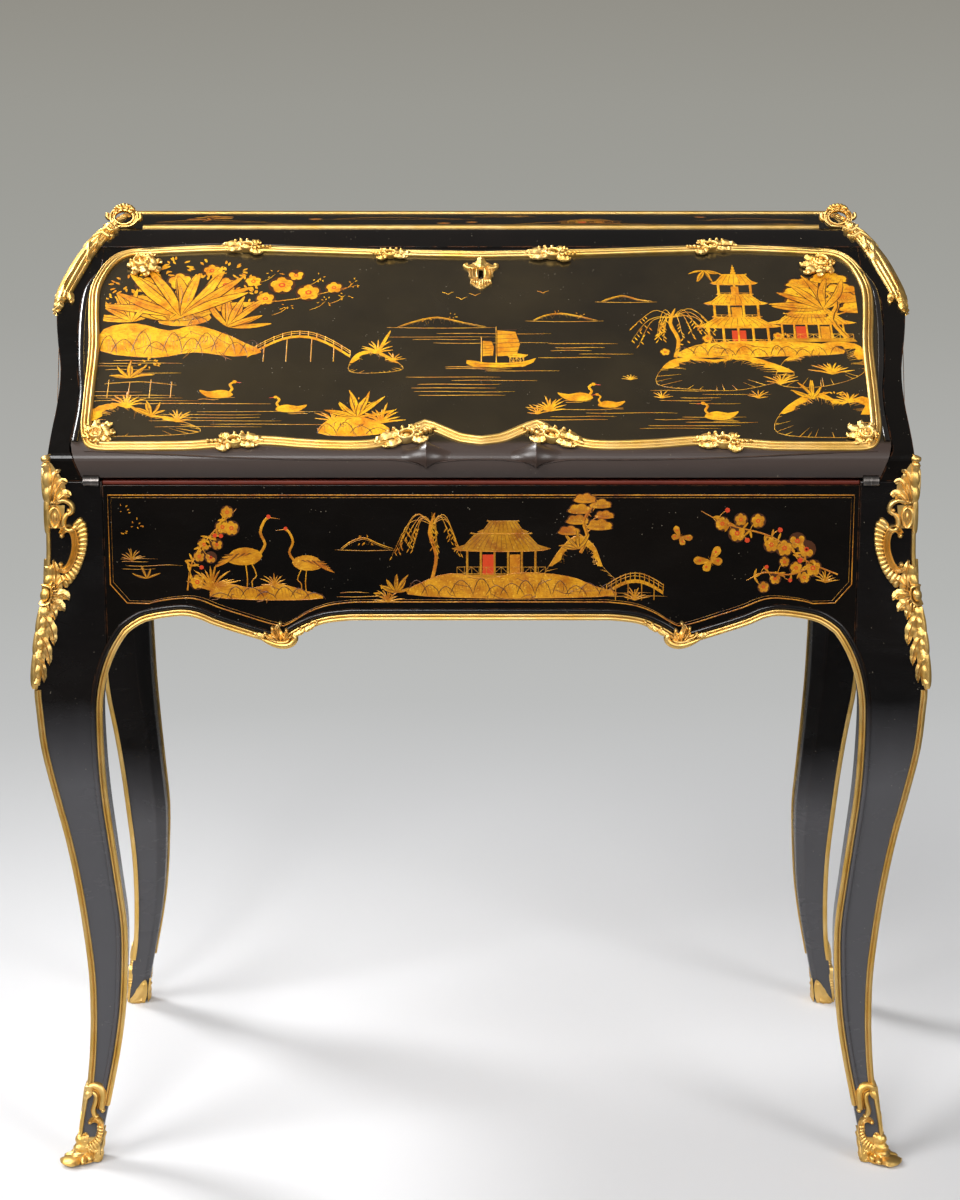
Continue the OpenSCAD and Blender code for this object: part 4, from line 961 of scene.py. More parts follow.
def shoeHalf(tray):
    backing(tray, [(1.5, 0, 22), (10, 0, 22), (20, 0, 21), (27, 0, 19)], 1.6, 6)
    scrollBand(tray, [(0.5, 78), (6, 80), (12, 77), (15.5, 70), (16, 62), (17.5, 56)], 4.2, 4.4, ends=(0.5, 0.6))
    scrollBand(tray, [(5, 74), (9, 70), (10, 63), (9, 55), (12, 49)], 3.0, 4.6, ends=(0.6, 0.7))
    scrollBand(tray, [(4, 77), (10, 74), (13, 66), (13, 57)], 1.4, 5.6, ridgeSection, ends=(0.5, 0.6))
    bead(tray, 19, 54.5, 2.7, 2.7, 5.0)
    bead(tray, 13, 48.5, 3.4, 3.0, 5.6)
    scrollBand(tray, [(7, 43), (11, 46), (17, 44.5), (19.5, 38), (19, 30), (15.5, 23), (9, 19)], 3.0, 4.8,
               channelSection, ends=(0.7, 0.7), even=34)
    bead(tray, 7.2, 42.5, 2.4, 2.4, 4.8)
    gadroons(tray, evenLine([(15, 40), (16, 31), (12, 24), (6, 20)], 30),
             evenLine([(22, 40), (22.5, 28), (19, 15), (10, 9)], 30), 9, 4.4)
    leaves(tray, [([(5, 18), (12, 15), (20, 10)], 5.0), ([(4, 12), (11, 7), (19, 3.5)], 4.2),
                  ([(4, 22), (5, 27), (3, 32)], 3.4)], 3, 4.4, 1.2, edge=0.2, along=16)


def shoe():
    tray = Tray()
    for chart in (innerFoot, innerFootSide):
        tray.chart = chart
        backing(tray, [(1, 1, 19), (6, 1, 20), (10, 4, 20.5), (18, 9, 20.5), (24, 13, 20)], 1.2, 6)
        leaf(tray, [(3, 3), (9, 8), (14, 18), (17, 32)], 6.4, 3, 3.2, 1.0, 0.14, 10, 20)
        leaf(tray, [(2, 2), (10, 3.5), (18, 5)], 4.2, 3, 3.0, 0.8, 0.16, 8, 16)
    tray.chart = cornerChart(1, 1)
    shoeHalf(tray)
    tray.chart = otherSide(tray.chart)
    shoeHalf(tray)
    tray.chart = cornerChart(1, 1)
    scrollBand(tray, [(0, 82), (0, 60), (0, 40), (0, 26)], 2.1, 3.4, ends=(0.6, 0.8))
    leaf(tray, [(0, 66), (0, 74), (0, 83)], 4.6, 2, 4.6, 0.8, 0.12, 10, 14)
    # toe curled forward, with a rolled lip
    for k, (s, reach) in enumerate([(0, 21), (-6, 16), (6, 16), (-12, 10), (12, 10)]):
        bead(tray, s, 5.2 + 0.5 * k, 4.4, 4.6, reach, 10, 0.0)
    leaf(tray, [(0, 30), (0, 18), (0, 9), (0, 4.5)], lambda t: 6.5 + 5.5 * t, 3, 6.5, 1.0, 0.14, 14, 20)
    for s, t, wide, tall, high in [(0, 8, 8.5, 5.5, 11.5), (7.5, 8, 4.5, 4.8, 9), (-7.5, 8, 4.5, 4.8, 9),
                                   (0, 17, 4.2, 5.0, 10)]:
        bead(tray, s, t, wide, tall, high, 12)
    scrollBand(tray, [(-15, 4.5), (-8, 3.2), (0, 2.8), (8, 3.2), (15, 4.5)], 2.6, 10.5, ends=(0.5, 0.5))
    return tray


shoeTray = shoe()
for name, flips in corners.items():
    giltPiece("shoe_" + name + "_leafwork", shoeTray.flipped(*flips), "shoe_" + name)
print("knee mounts and shoes made")


# Shoulder mounts: reeds tied under the corner, with a leafy end below

def caseHeight(u):
    if u <= desk["fallLen"]:
        return faceHeight(u)
    return desk["fallT"] + 5 * (u - desk["fallLen"]) / 26.5


def onShoulder(s, u, h):
    # s over the sloping face, or minus s down the flank, left side
    v = caseHeight(u)
    share = min(max((s + 3) / 6, 0), 1)
    down = min(s, 0)
    side = flankX(slopePoint(0, u, v + down).z / mm)
    return slopePoint(-side + max(s, 0) - h * (1 - share), u, v + down + h * share)


def shoulderMount():
    tray = Tray(onShoulder)
    for s, wide in [(-7.5, 2.9), (-2.6, 3.1), (2.6, 3.1), (7.6, 2.9), (11.6, 2.0)]:
        path = [Vector((s * (0.86 + 0.24 * math.sin(math.pi * k / 24)), 238 + k * 4.5)) for k in range(25)]
        high = 4.8 if wide > 2.5 else 3.4
        sweep(tray, path, domeSection, lambda t: (wide * (0.9 + 0.2 * math.sin(math.pi * t)), high))
    # ribbon collar with curls
    for u, lean in [(337, 3), (343, -2)]:
        scrollBand(tray, [(-9, u - lean), (-3, u + 1), (5, u + 2), (12, u - 1), (16, u - lean)], 2.4, 7.0,
                   ends=(0.8, 0.7))
    beads(tray, [(15.5, 337, 3.2, 3.2), (13, 347, 3.0, 3.0), (-8.5, 341, 2.8, 2.8), (6, 349, 2.8, 2.8)], 6.5)
    leaves(tray, [([(1, 344), (4, 350), (11, 357)], 5.0), ([(-4, 343), (-3, 349), (2, 355)], 4.0)],
           3, 5.4, 1.2, edge=0.18)
    # a long leaf that wraps the reeds below the collar
    leaves(tray, [([(-3, 336), (3, 322), (10, 308), (14, 292)], 4.6), ([(4, 336), (10, 324), (14, 314)], 3.4)],
           2, 6.8, 1.4, edge=0.12, along=22)
    # leafy lower end
    leaves(tray, [([(2, 250), (9, 246), (14, 238), (15, 231)], 4.2), ([(0, 252), (3, 240), (2, 226)], 5.4),
                  ([(-3, 252), (-8, 242), (-9, 230)], 4.6), ([(1, 238), (3, 229), (1, 218)], 4.2),
                  ([(0, 232), (-4, 225), (-4, 218)], 3.4)], 3, 5.2, 1.2, edge=0.2, along=20)
    beads(tray, [(s, u, 2.2, 2.6) for s, u in ((0, 249), (5, 247), (-5, 247), (10, 243))], 6.0)
    return tray


ringLook = {"wide": 12.4, "tall": 9.2, "tilt": math.radians(20), "x": -378, "y": 13, "z": 945.36}


def onRing(s, t, h):
    # s, t in the ring's own plane, h out of it towards the front
    c, n = math.cos(ringLook["tilt"]), math.sin(ringLook["tilt"])
    return Vector((ringLook["x"] + s, topFront + ringLook["y"] - h * c + t * n, ringLook["z"] + t * c + h * n)) * mm


def cornerRing():
    # an oval loop of three mouldings with a flower on it
    tray = Tray(onRing)
    for grow, taller, thick, deep, back in [(0, 0, 3.3, 2.6, -1.0), (-2.2, -1.6, 1.3, 2.2, 2.0),
                                            (2.2, 1.4, 1.2, 2.0, 1.6)]:
        path = oval(0, 0, ringLook["wide"] + grow, ringLook["tall"] + taller, 44)
        section = [(math.cos(a) * thick, back + deep * math.sin(a)) for a in turns(10)]
        sweep(tray, path, section, (1, 1), closed=True)
    # flower of petals on the top, a leaf inside and curls at the foot
    for turn in [math.radians(38 + 30 * k) for k in range(5)]:
        c, n = math.cos(turn), math.sin(turn)
        leaf(tray, [(9 * c, 7 * n), (12.5 * c, 10.5 * n), (15 * c, 14 * n)], 4.6, 2, 6.0, 1.4, 0.12, 8, 14)
    for turn in [math.radians(20 + 140 * k / 6) for k in range(7)]:
        bead(tray, 9.0 * math.cos(turn), ringLook["tall"] - 1.6 + 5.2 * math.sin(turn), 3.1, 3.1, 5.6)
    crown = ringLook["tall"] + 0.8
    beads(tray, [(*p, 1.7, 1.7) for p in oval(0, crown, 2.8, 2.2, 5)], 5.2)
    bead(tray, 0, crown, 1.6, 1.6, 6.0)
    for spine in ([(-15, -2), (-18, 1), (-17.5, 5)], [(14, -4), (17.5, -1), (17, 4)], [(-6, -9), (0, -10), (7, -9)]):
        scrollBand(tray, spine, 2.2, 4.0, ends=(0.6, 0.8))
    leaf(tray, [(-9, -3), (-3, 0), (3, 2), (8, 1)], 2.6, 3, 2.2, 0.6, along=16, sink=-2.5)
    return tray


shoulderTray, ringTray = shoulderMount(), cornerRing()
for side, flip in (("left", 1), ("right", -1)):
    giltPiece("shoulderReeds_" + side, shoulderTray.flipped(flip, 1), "shoulder_mount_" + side)
    giltPiece("cornerLoop_" + side, ringTray.flipped(flip, 1), "corner_ring_" + side)
print("shoulder mounts made")


# Clasps on the fall's frame, the escutcheon and the leaves of the apron

def turned(chart, x, t, angle=0, size=1.0, flip=1, lift=0):
    # a small drawing laid on a surface at a place, turned and scaled
    c, n = math.cos(math.radians(angle)), math.sin(math.radians(angle))

    def placed(s, w, h):
        s, w = s * flip * size, w * size
        return chart(x + s * c - w * n, t + s * n + w * c, h * size + lift if h > 0 else h + lift)
    return placed


def runClasp(tray):
    # a shell with an eye, a leafy tail one way and berries the other
    leaves(tray, [([(2, 2), (10, 5), (19, 4), (24, 1)], 3.8), ([(3, -1), (11, -3), (20, -3)], 3.4),
                  ([(-2, 3), (-8, 7), (-13, 6)], 3.4), ([(-3, -3), (-9, -7), (-15, -6)], 3.4)],
           3, 3.4, 1.0, edge=0.22)
    for turn in [math.radians(-20 + 220 * k / 6) for k in range(7)]:
        c, n = math.cos(turn), math.sin(turn)
        scrollBand(tray, [(4.5 * c, 3.2 * n), (7.5 * c, 6.2 * n), (9.5 * c, 8.8 * n)], 1.7, 3.6, steps=3,
                   ends=(0.6, 1.0))
    ringBand(tray, oval(0, 0, 5.8, 4.2, 24), 1.5, 4.6)
    bead(tray, 0, 0, 3.6, 2.6, 5.0)
    beads(tray, [(s, t, wide, wide) for s, t, wide in
                 [(-11, 0, 2.4), (-15, 1, 2.1), (-18.5, 0.4, 1.8), (-21.5, 1, 1.5), (11, 9, 1.6), (6, 10, 1.8)]], 3.6)


def cornerClasp(tray):
    # a bouquet that points into the corner of the panel
    for angle, reach, wide in [(0, 19, 4.6), (38, 17, 4.2), (-38, 17, 4.2), (80, 15, 3.8), (-80, 15, 3.8),
                               (135, 11, 3.4), (-135, 11, 3.4)]:
        c, n = math.cos(math.radians(angle)), math.sin(math.radians(angle))
        spine = [(2 * c, 2 * n)] + [(reach * share * c - slip * n, reach * share * n + slip * c)
                                    for share, slip in ((0.5, 1), (0.8, 2), (1, 0))]
        leaf(tray, spine, wide, 3, 3.8, 1.2, 0.25)
    ringBand(tray, oval(0, 0, 5.4, 5.4, 24), 1.6, 5.2)
    bead(tray, 0, 0, 3.4, 3.4, 6.0)
    for turn in [a + math.pi / 8 for a in turns(8)]:
        bead(tray, 8.4 * math.cos(turn), 8.4 * math.sin(turn), 2.0, 2.0, 4.2)


# share of the panel's width and rise, angle, size, flip
clasps = {"run": [(-0.62, 0.996, 0, 1.15, -1), (-0.24, 0.96, -4, 0.95, 1), (0.19, 0.96, 3, 1.25, -1),
                  (0.61, 0.998, 2, 1.15, 1), (-0.61, 0.09, 0, 1.2, 1), (-0.185, 0.112, 20, 1.35, -1),
                  (0.175, 0.112, -20, 1.35, 1), (0.6, 0.088, 0, 1.25, -1)],
          "corner": [(-0.895, 0.915, -38, 1.3, 1), (0.895, 0.915, 218, 1.3, 1), (-0.955, 0.12, 44, 1.15, 1),
                     (0.955, 0.12, 136, 1.15, 1)]}
tray = Tray()
for kind, draw, lift in (("run", runClasp, 2.6), ("corner", cornerClasp, 2.2)):
    for share, rise, *pose in clasps[kind]:
        tray.chart = turned(onFall, share * desk["innerW"], rise * desk["fallLen"], *pose, lift)
        draw(tray)
giltPiece("fallClasps", tray, "fall_clasps", "fall")


def escutcheon():
    tray = Tray()
    middle = turned(onFall, 0, 0.8124 * desk["fallLen"] + 17, 0, 0.9, 1, 0.2)
    rows = [(-27, 0.6), (-24, 5), (-20, 9), (-15, 12.5), (-9, 11.5), (-4, 10.5), (2, 14), (8, 15.5), (12, 18.5),
            (15, 18.5), (17.5, 13), (20, 8.5), (24, 5), (30, 0.8)]
    for flip in (1, -1):
        def outline(a, t):
            # half of the shield, cut back beside the keyhole
            place = t * (len(rows) - 1)
            i = min(int(place), len(rows) - 2)
            w, reach = (low + (top - low) * (place - i) for low, top in zip(rows[i], rows[i + 1]))
            low = 3.0 if -8.5 < w < 7.5 else 0.0
            return flip * (low + (max(reach, low + 0.3) - low) * (a + 1) / 2), w
        tray.chart = middle
        patch(tray, outline, lambda a, t: 1.0 + 0.4 * math.cos(a * 2.2), 8, 52, -0.2)
        tray.chart = turned(middle, 0, 0, 0, 1, flip)
        scrollBand(tray, [(5, -9), (9.5, -8), (11.5, -2), (11, 6), (8, 11), (4, 11)], 2.1, 3.6, channelSection,
                   ends=(0.7, 0.7))
        scrollBand(tray, [(4.2, -8), (5.2, 0), (4.2, 8)], 1.2, 3.4, ends=(0.8, 0.8))
        scrollBand(tray, [(7, 10), (12, 10.5), (17, 12.5), (18.5, 16), (15.5, 17.5)], 2.4, 3.4, ends=(0.6, 0.9))
        for k in range(4):
            scrollBand(tray, [(1.5 + k * 2.6, -12), (2.0 + k * 3.0, -16), (1.6 + k * 2.6, -22 + k * 2.4)], 1.2, 3.6,
                       steps=3, ends=(0.6, 0.9))
            bead(tray, 2.2 + k * 3.1, -24.5 + k * 2.9, 1.5, 1.5, 3.4, 5)
            bead(tray, 15.5 + 0.4 * k, 8.5 + 2.2 * k, 1.1, 1.1, 3.6, 4)
            bead(tray, 13.4 - 0.5 * k, -3 + 4.2 * k, 1.2, 1.4, 3.0, 4)
        leaf(tray, [(1, 12), (5, 17), (9, 21)], 3.0, 3, 2.6, 0.8, along=12)
    tray.chart = middle
    leaf(tray, [(0, 11), (0, 20), (0, 31)], 6.0, 3, 4.6, 1.0, 0.2, 10, 16)
    leaf(tray, [(0, -12), (0, -19), (0, -27)], 4.4, 3, 3.4, 1.0, 0.2, 10, 16)
    return tray


giltPiece("escutcheonShield", escutcheon(), "escutcheon", "fall")


def apronLeaf(tray):
    # boat-shaped curl under an upright leaf, with a tail towards the middle
    scrollBand(tray, [(-19, 1), (-12, -2.4), (-4, -5.4), (4, -6.4), (11, -4.2), (14.5, 0.5), (12.5, 4.5)], 3.8, 5.0,
               ends=(0.2, 0.6))
    scrollBand(tray, [(-12, 1), (-4, -1.8), (4, -2.2), (9, 0)], 2.2, 5.8, ends=(0.3, 0.6))
    upright = [([(1, -3), (-1, 5), (-3, 11), (0, 16)], 3.6), ([(3, -3), (5, 3), (6, 9)], 3.2),
               ([(-2, -3), (-7, 1), (-12, 3), (-15, 6)], 3.2), ([(-1, -3), (-6, 5), (-8, 11)], 3.0)]
    leaves(tray, upright, 2, 4.6, 1.6, (1.5, 6.4, (0.5, 1.0)), edge=0.08, across=10)
    beads(tray, [(*spine[-1], 2.0, 2.2) for spine, _ in upright], 5.4)
    leaves(tray, [([(12, 3), (20, 7), (27, 12)], 2.8), ([(24, 8), (31, 13), (37, 16)], 2.8)], 3, 3.4, 1.0, edge=0.25,
           along=14)
    beads(tray, [(s, t, 2.0, 2.0) for s, t in ((20, 10.5), (29, 15.5), (36, 17.5), (-17, 3))], 4.2)
    leaf(tray, [(-14, 2), (-21, 4), (-27, 6)], 2.6, 3, 3.0, 0.8, 0.25, 8, 14)


tray = Tray()
cusp = (trim["apronMiddle"][0][0] * desk["postIn"], desk["writingH"] - 159.4)
for flip in (1, -1):
    tray.chart = turned(onFrieze, flip * cusp[0], cusp[1], 0, 1, -flip, 1.6)
    apronLeaf(tray)
giltPiece("apronLeafwork", tray, "apron_leaves")
print("clasps, escutcheon and apron leaves made")


# The fall's lip: two carved peaks and a fine step along it

lip = {"peakX": 53.7, "spread": 24, "apex": 41, "tip": 10.5, "stand": 7.5}


def lipProfile():
    # the fall's outer line from its foot up over the rounding, with distances and directions
    top = Vector((desk["lipH"] * sinA, desk["lipH"] * cosA))
    corner, end = Vector((desk["fallT"] * sinA / cosA, desk["fallT"])), Vector((desk["lipRound"], desk["fallT"]))
    points = [Vector((3.6 * sinA, 3.6 * cosA))]
    points += [top * (1 - t) ** 2 + corner * 2 * t * (1 - t) + end * t * t for t in [k / 8 for k in range(9)]]
    points += [Vector((u, faceHeight(u))) for u in range(28, 61, 4)]
    found, run = [], 0
    for k, p in enumerate(points):
        if k:
            run += (p - points[k - 1]).length
        found.append((run, *p, *squareTo(headingAt(points, k))))
    return found


lipTable = lipProfile()


def onLip(x, w, h):
    u, v, across, out = (lookUp(lipTable, w, column) for column in (1, 2, 3, 4))
    normal = Vector((across, out)).normalized()
    return slopePoint(x, u + normal.x * h, v + normal.y * h)


tray = Tray(onLip)
for sign in (-1, 1):
    def outline(a, t):
        low = lip["tip"] + 8.0 * abs(a) ** 0.55
        high = lip["apex"] - 15.0 * abs(a) ** 0.7
        return sign * lip["peakX"] + a * lip["spread"], low + (high - low) * t

    def height(a, t):
        crest = max(0.0, 1 - abs(a)) ** 2.1
        return lip["stand"] * crest * math.sin(math.pi * min(1, 0.14 + 0.86 * t) ** 0.8) ** 0.5 + 0.25
    patch(tray, outline, height, 28, 18, -0.5)
finishPiece("lipPeaks", tray, "lipLacquer", "fall", crease=40)

tray = Tray(onLip)
outerStep = smoothCurve([(-388, 27), (-330, 24), (-240, 19.5), (-140, 17.6), (-90, 17.8), (-68, 15), (-54, 10.5)], 6)
innerStep = smoothCurve([(-54, 10.5), (-42, 15), (-20, 17.5), (0, 18), (20, 17.5), (42, 15), (54, 10.5)], 6)
for path in ([Vector((-p.x, p.y)) for p in outerStep], outerStep, innerStep):
    sweep(tray, path, bothHalves([(1, -0.4), (0.7, 0.5), (0, 0.9)]), (1.0, 1.0))
finishPiece("lipStep", tray, "lipLacquer", "fall")
print("lip carved")


# Gold painting: flat washes and brush lines, a hair above the lacquer

# how dense, how red, how dark
paints = {"gold": (1.0, 0.0, 0.0), "old": (0.86, 0.0, 0.3), "amber": (1.0, 0.16, 0.08), "red": (1.0, 0.95, 0.0),
          "dark": (1.0, 0.0, 1.0), "brown": (1.0, 0.2, 0.8), "faint": (0.56, 0.0, 0.25), "worn": (0.62, 0.1, 0.15)}


class Painter:
    # draws on one surface of the desk, in mm; step is how finely a wash is cut to follow the surface
    def __init__(self, chart, step=12, limit=900):
        self.tray, self.step, self.limit = Tray(chart), step, limit
        self.dice, self.count, self.steady = random.Random(5), 0, False
        self.at(0, 0)

    def at(self, x, y, size=1.0, flip=1):
        self.shift = (x, y, size, flip)

    def over(self, lift):
        # no two shapes in a row lie level, unless the caller stacks them itself
        if self.steady:
            return lift
        self.count += 1
        return lift + 0.004 * (self.count % 11)

    def spot(self, p):
        x, y, size, flip = self.shift
        return Vector((min(max(x + p[0] * size * flip, -self.limit), self.limit), y + p[1] * size))

    def line(self, points, wide=1.0, tone="gold", lift=0.16, taper=(0.25, 0.15), steps=3, closed=False):
        flat, lift = [self.spot(p) for p in points], self.over(lift)
        if len(flat) > 2:
            flat = smoothCurve(flat, steps, closed)

        def size(t):
            share = min(1, taper[0] + t * 6, taper[1] + (1 - t) * 3) if not closed else 1
            return wide * self.shift[2] / 2 * share, lift
        sweep(self.tray, flat, [(1, -0.5), (0.55, 1), (-0.55, 1), (-1, -0.5)], size, paints[tone], closed)

    def wash(self, points, tone="gold", lift=0.11, smooth=0):
        flat, lift = [self.spot(p) for p in points], self.over(lift)
        if smooth:
            flat = smoothCurve(flat, smooth, True)
        shape = bmesh.new()
        ring = [shape.verts.new((*p, 0)) for p in flat]
        edges = [shape.edges.new((a, b)) for a, b in zip(ring, ring[1:] + ring[:1])]
        bmesh.ops.triangle_fill(shape, edges=edges, use_beauty=True)
        bmesh.ops.dissolve_degenerate(shape, edges=shape.edges, dist=1e-3)
        if not shape.faces:
            shape.free()
            return
        low, high = min(p.y for p in flat), max(p.y for p in flat)
        level = math.ceil(low / self.step) * self.step
        while level < high:
            bmesh.ops.bisect_plane(shape, geom=shape.verts[:] + shape.edges[:] + shape.faces[:], dist=1e-4,
                                   plane_co=(0, level, 0), plane_no=(0, 1, 0))
            level += self.step
        raised = bmesh.ops.extrude_face_region(shape, geom=shape.faces[:])
        top = {e for e in raised["geom"] if isinstance(e, bmesh.types.BMVert)}
        for v in shape.verts:
            v.co = self.tray.chart(v.co.x, v.co.y, lift if v in top else -0.12)
        self.tray.pour(shape, paints[tone])

    def dot(self, x, y, wide, tone="gold", lift=0.2, sides=7):
        self.wash(oval(x, y, wide / 2, wide / 2, sides), tone, lift)


def polar(x, y, turn, reach, tall=1.0):
    return x + reach * math.cos(turn), y + reach * tall * math.sin(turn)


def scaled(x, y, size):
    return lambda a, b: (x + a * size, y + b * size)


def box(x0, y0, x1, y1):
    return [(x0, y0), (x1, y0), (x1, y1), (x0, y1)]


def bow(a, b, sag):
    # three points from a to b, the middle pushed aside by sag
    a, b = Vector(a), Vector(b)
    return [a, (a + b) / 2 + squareTo(b - a).normalized() * sag, b]


def blade(p, base, tip, wide, tone="gold", sag=0, lift=0.14):
    # a leaf blade, pointed at both ends
    path = smoothCurve(bow(base, tip, sag), 4)
    rows = [(q, squareTo(headingAt(path, k)) * wide / 2 * math.sin(math.pi * (0.06 + 0.9 * k / (len(path) - 1))))
            for k, q in enumerate(path)]
    p.wash([q + side for q, side in rows] + [q - side for q, side in rows[::-1]], tone, lift)


def tuft(p, x, y, size, blades=9, tone="gold"):
    for k in range(blades):
        turn = math.radians(90 + 75 * (2 * k / (blades - 1) - 1) + p.dice.uniform(-6, 6))
        reach = size * p.dice.uniform(0.65, 1.05)
        c, n = reach * math.cos(turn), reach * math.sin(turn)
        p.line([(x, y), (x + 0.425 * c, y + 0.55 * n), (x + c, y + 0.9 * n)], size * 0.07 + 0.35, tone,
               taper=(0.9, 0.1), steps=2)


def water(p, x, y, length, rows=4, gap=3.5, tone="old"):
    roll = p.dice.uniform
    for k in range(rows):
        start = x + roll(-0.2, 0.3) * length
        reach = length * roll(0.35, 0.8)
        level = y + gap * k + roll(-0.6, 0.6)
        p.line([(start, level), (start + reach * 0.3, level + roll(-0.7, 0.7)),
                (start + reach * 0.7, level + roll(-0.7, 0.7)), (start + reach, level)], roll(0.5, 1.0), tone,
               taper=(0.2, 0.1))


def flower(p, x, y, r, tone="gold"):
    p.dot(x, y, 2.3 * r, "dark", 0.11, 12)
    for turn in [a + 0.4 for a in turns(5)]:
        cx, cy = polar(x, y, turn, 0.58 * r)
        p.wash([(cx + 0.47 * r * math.cos(a + turn) * (0.9 if k % 4 else 0.8), cy + 0.47 * r * math.sin(a + turn))
                for k, a in enumerate(turns(9))], tone, 0.14)
        p.line([polar(x, y, turn, 0.25 * r), polar(x, y, turn, 0.75 * r)], 0.7, "brown", 0.2)
    p.dot(x, y, 0.62 * r, "red")
    p.dot(x, y, 0.3 * r, tone, 0.24)


def spray(p, x, y, size, count=12):
    # a cluster of small leaves and berries
    for k in range(count):
        turn = p.dice.uniform(0, 2 * math.pi)
        foot = polar(x, y, turn, size * math.sqrt(p.dice.random()), 0.8)
        tip = polar(*foot, turn + p.dice.uniform(-0.5, 0.5), size * 0.34)
        blade(p, foot, tip, size * 0.15, "gold" if k % 3 else "amber")


def fanPlant(p, x, y, size, start, stop, count, tones=("gold", "amber"), wide=0.1):
    # broad leaves fanned out from one foot, each with a dark rim and a vein
    p.steady = True
    order = list(range(0, count, 2)) + list(range(count - 1 - (count + 1) % 2, 0, -2))
    for rank, k in enumerate(order):
        turn = math.radians(start + (stop - start) * k / (count - 1) + p.dice.uniform(-3, 3))
        reach, lift = size * p.dice.uniform(0.66, 1.0), 0.13 + 0.013 * rank
        tip, sag = polar(x, y, turn, reach), p.dice.uniform(-0.07, 0.07) * size
        blade(p, (x, y), tip, size * wide * 1.3 + 0.9, "dark", sag, lift - 0.007)
        blade(p, (x, y), tip, size * wide * 1.15, tones[k % len(tones)], sag, lift)
        p.line(bow(polar(x, y, turn, 0.3 * reach), polar(x, y, turn, 0.85 * reach), sag * 0.6), 0.8, "brown",
               lift + 0.004)
    p.steady = False


def crag(p, outline, ribs, seed):
    # a rock: black inside with gold edges that fade inwards in hatched strokes
    dice = random.Random(seed)
    ring = smoothCurve(outline, 4, True)
    middle = sum(ring, Vector((0, 0))) / len(ring)
    p.line(ring, 0.7, "faint", 0.15, steps=1, closed=True)
    first = min(range(len(ring)), key=lambda k: ring[k].x)
    crest = [q for q in ring[first:] + ring[:first] if q.y > middle.y - 3]
    rim = [q.lerp(middle, 0.1 + 0.16 * abs(math.sin(1.3 * k))) for k, q in enumerate(crest)]
    p.wash(crest + rim[::-1], "gold", 0.14)
    p.line(crest, 1.7, "gold", 0.18, taper=(0.5, 0.4), steps=1)
    for q in rim[2:-2:3]:
        p.line([q, (q.x + dice.uniform(-2, 2), q.y - 5 - dice.uniform(0, 5))], 0.9, "amber", 0.17)
    for q, after in zip(ring, ring[1:] + ring[:1]):
        for _ in range(ribs if q.y > middle.y else 1):
            share = dice.uniform(0.05, 0.42)
            start = after.lerp(q, dice.random())
            end = start.lerp(middle, share)
            p.line([start, (end.x + dice.uniform(-1, 1), end.y + dice.uniform(-1, 1))], dice.uniform(0.5, 1.1),
                   "gold" if dice.random() > 0.3 else "amber", 0.13, taper=(1, 0.1))


def goldRock(p, outline, seed, tone="gold"):
    # a rock filled with gold, with dark folds
    dice = random.Random(seed)
    p.wash(outline, tone, 0.11, 3)
    p.line(outline, 0.8, "amber", 0.17, closed=True)
    xs, ys = [q[0] for q in outline], [q[1] for q in outline]
    left, low, wide = min(xs), min(ys), max(xs) - min(xs)
    lumps = max(3, int(wide / 15))
    for k in range(lumps):
        # folds of the rock: dark arches with strokes under them
        cx = left + wide * (k + 0.5) / lumps + dice.uniform(-3, 3)
        crown = [b for a, b in outline if abs(a - cx) < 0.35 * wide]
        tall = (max(crown or ys) - low) * dice.uniform(0.45, 0.8)
        half = wide / lumps * dice.uniform(0.5, 0.8)
        p.line([(cx + a * half, low + b * tall) for a, b in ((-1, 0.2), (-0.6, 0.75), (0, 1), (0.7, 0.6), (1, 0.1))],
               1.2, "dark", 0.18, taper=(0.3, 0.3))
        for sx in [cx + half * j * 0.32 for j in (-2, -1, 0, 1, 2)]:
            p.line([(sx, low + tall * 0.85), (sx + 1.5, low + tall * dice.uniform(0.2, 0.5))], 0.8, "brown", 0.17,
                   taper=(0.7, 0.1))
    for _ in range(int(len(outline) * 1.6)):
        edge = Vector(dice.choice(outline))
        start = edge.lerp(Vector((sum(xs) / len(xs), sum(ys) / len(ys))), dice.uniform(0.1, 0.6))
        end = start + Vector((dice.uniform(-0.12, 0.12) * wide, -dice.uniform(0.1, 0.3) * (max(ys) - low)))
        p.line(bow(start, end, dice.uniform(-2, 2)), dice.uniform(0.8, 1.5), "brown", 0.18, taper=(0.5, 0.1))


def roof(p, x, y, wide, tall, tiles, ridge=0.62, tone="gold"):
    # a swept roof with upturned eaves and rows of tiles
    def at(a, b):
        return x + a * wide / 2, y + b * tall
    eaves = [at(-1.16, 0.12), at(-0.97, 0), at(-0.4, -0.06), at(0.4, -0.06), at(0.97, 0), at(1.16, 0.12)]
    p.wash(eaves + [at(0.86, 0.35), at(ridge, 1), at(-ridge, 1), at(-0.86, 0.35)], tone, 0.12)
    for t in [(k + 0.5) / tiles * 2 - 1 for k in range(tiles)]:
        p.line([at(t * ridge * 0.97, 0.92), at(t * 0.92, 0.3), at(t, 0.04)], 0.75, "brown", 0.18, taper=(0.8, 0.6),
               steps=2)
    p.line([at(-ridge * 1.12, 1.08), at(-ridge, 1), at(ridge, 1), at(ridge * 1.12, 1.08)], 1.5, tone, 0.2,
           taper=(0.8, 0.8), steps=2)
    p.line(eaves, 0.9, "amber", 0.2, steps=2)


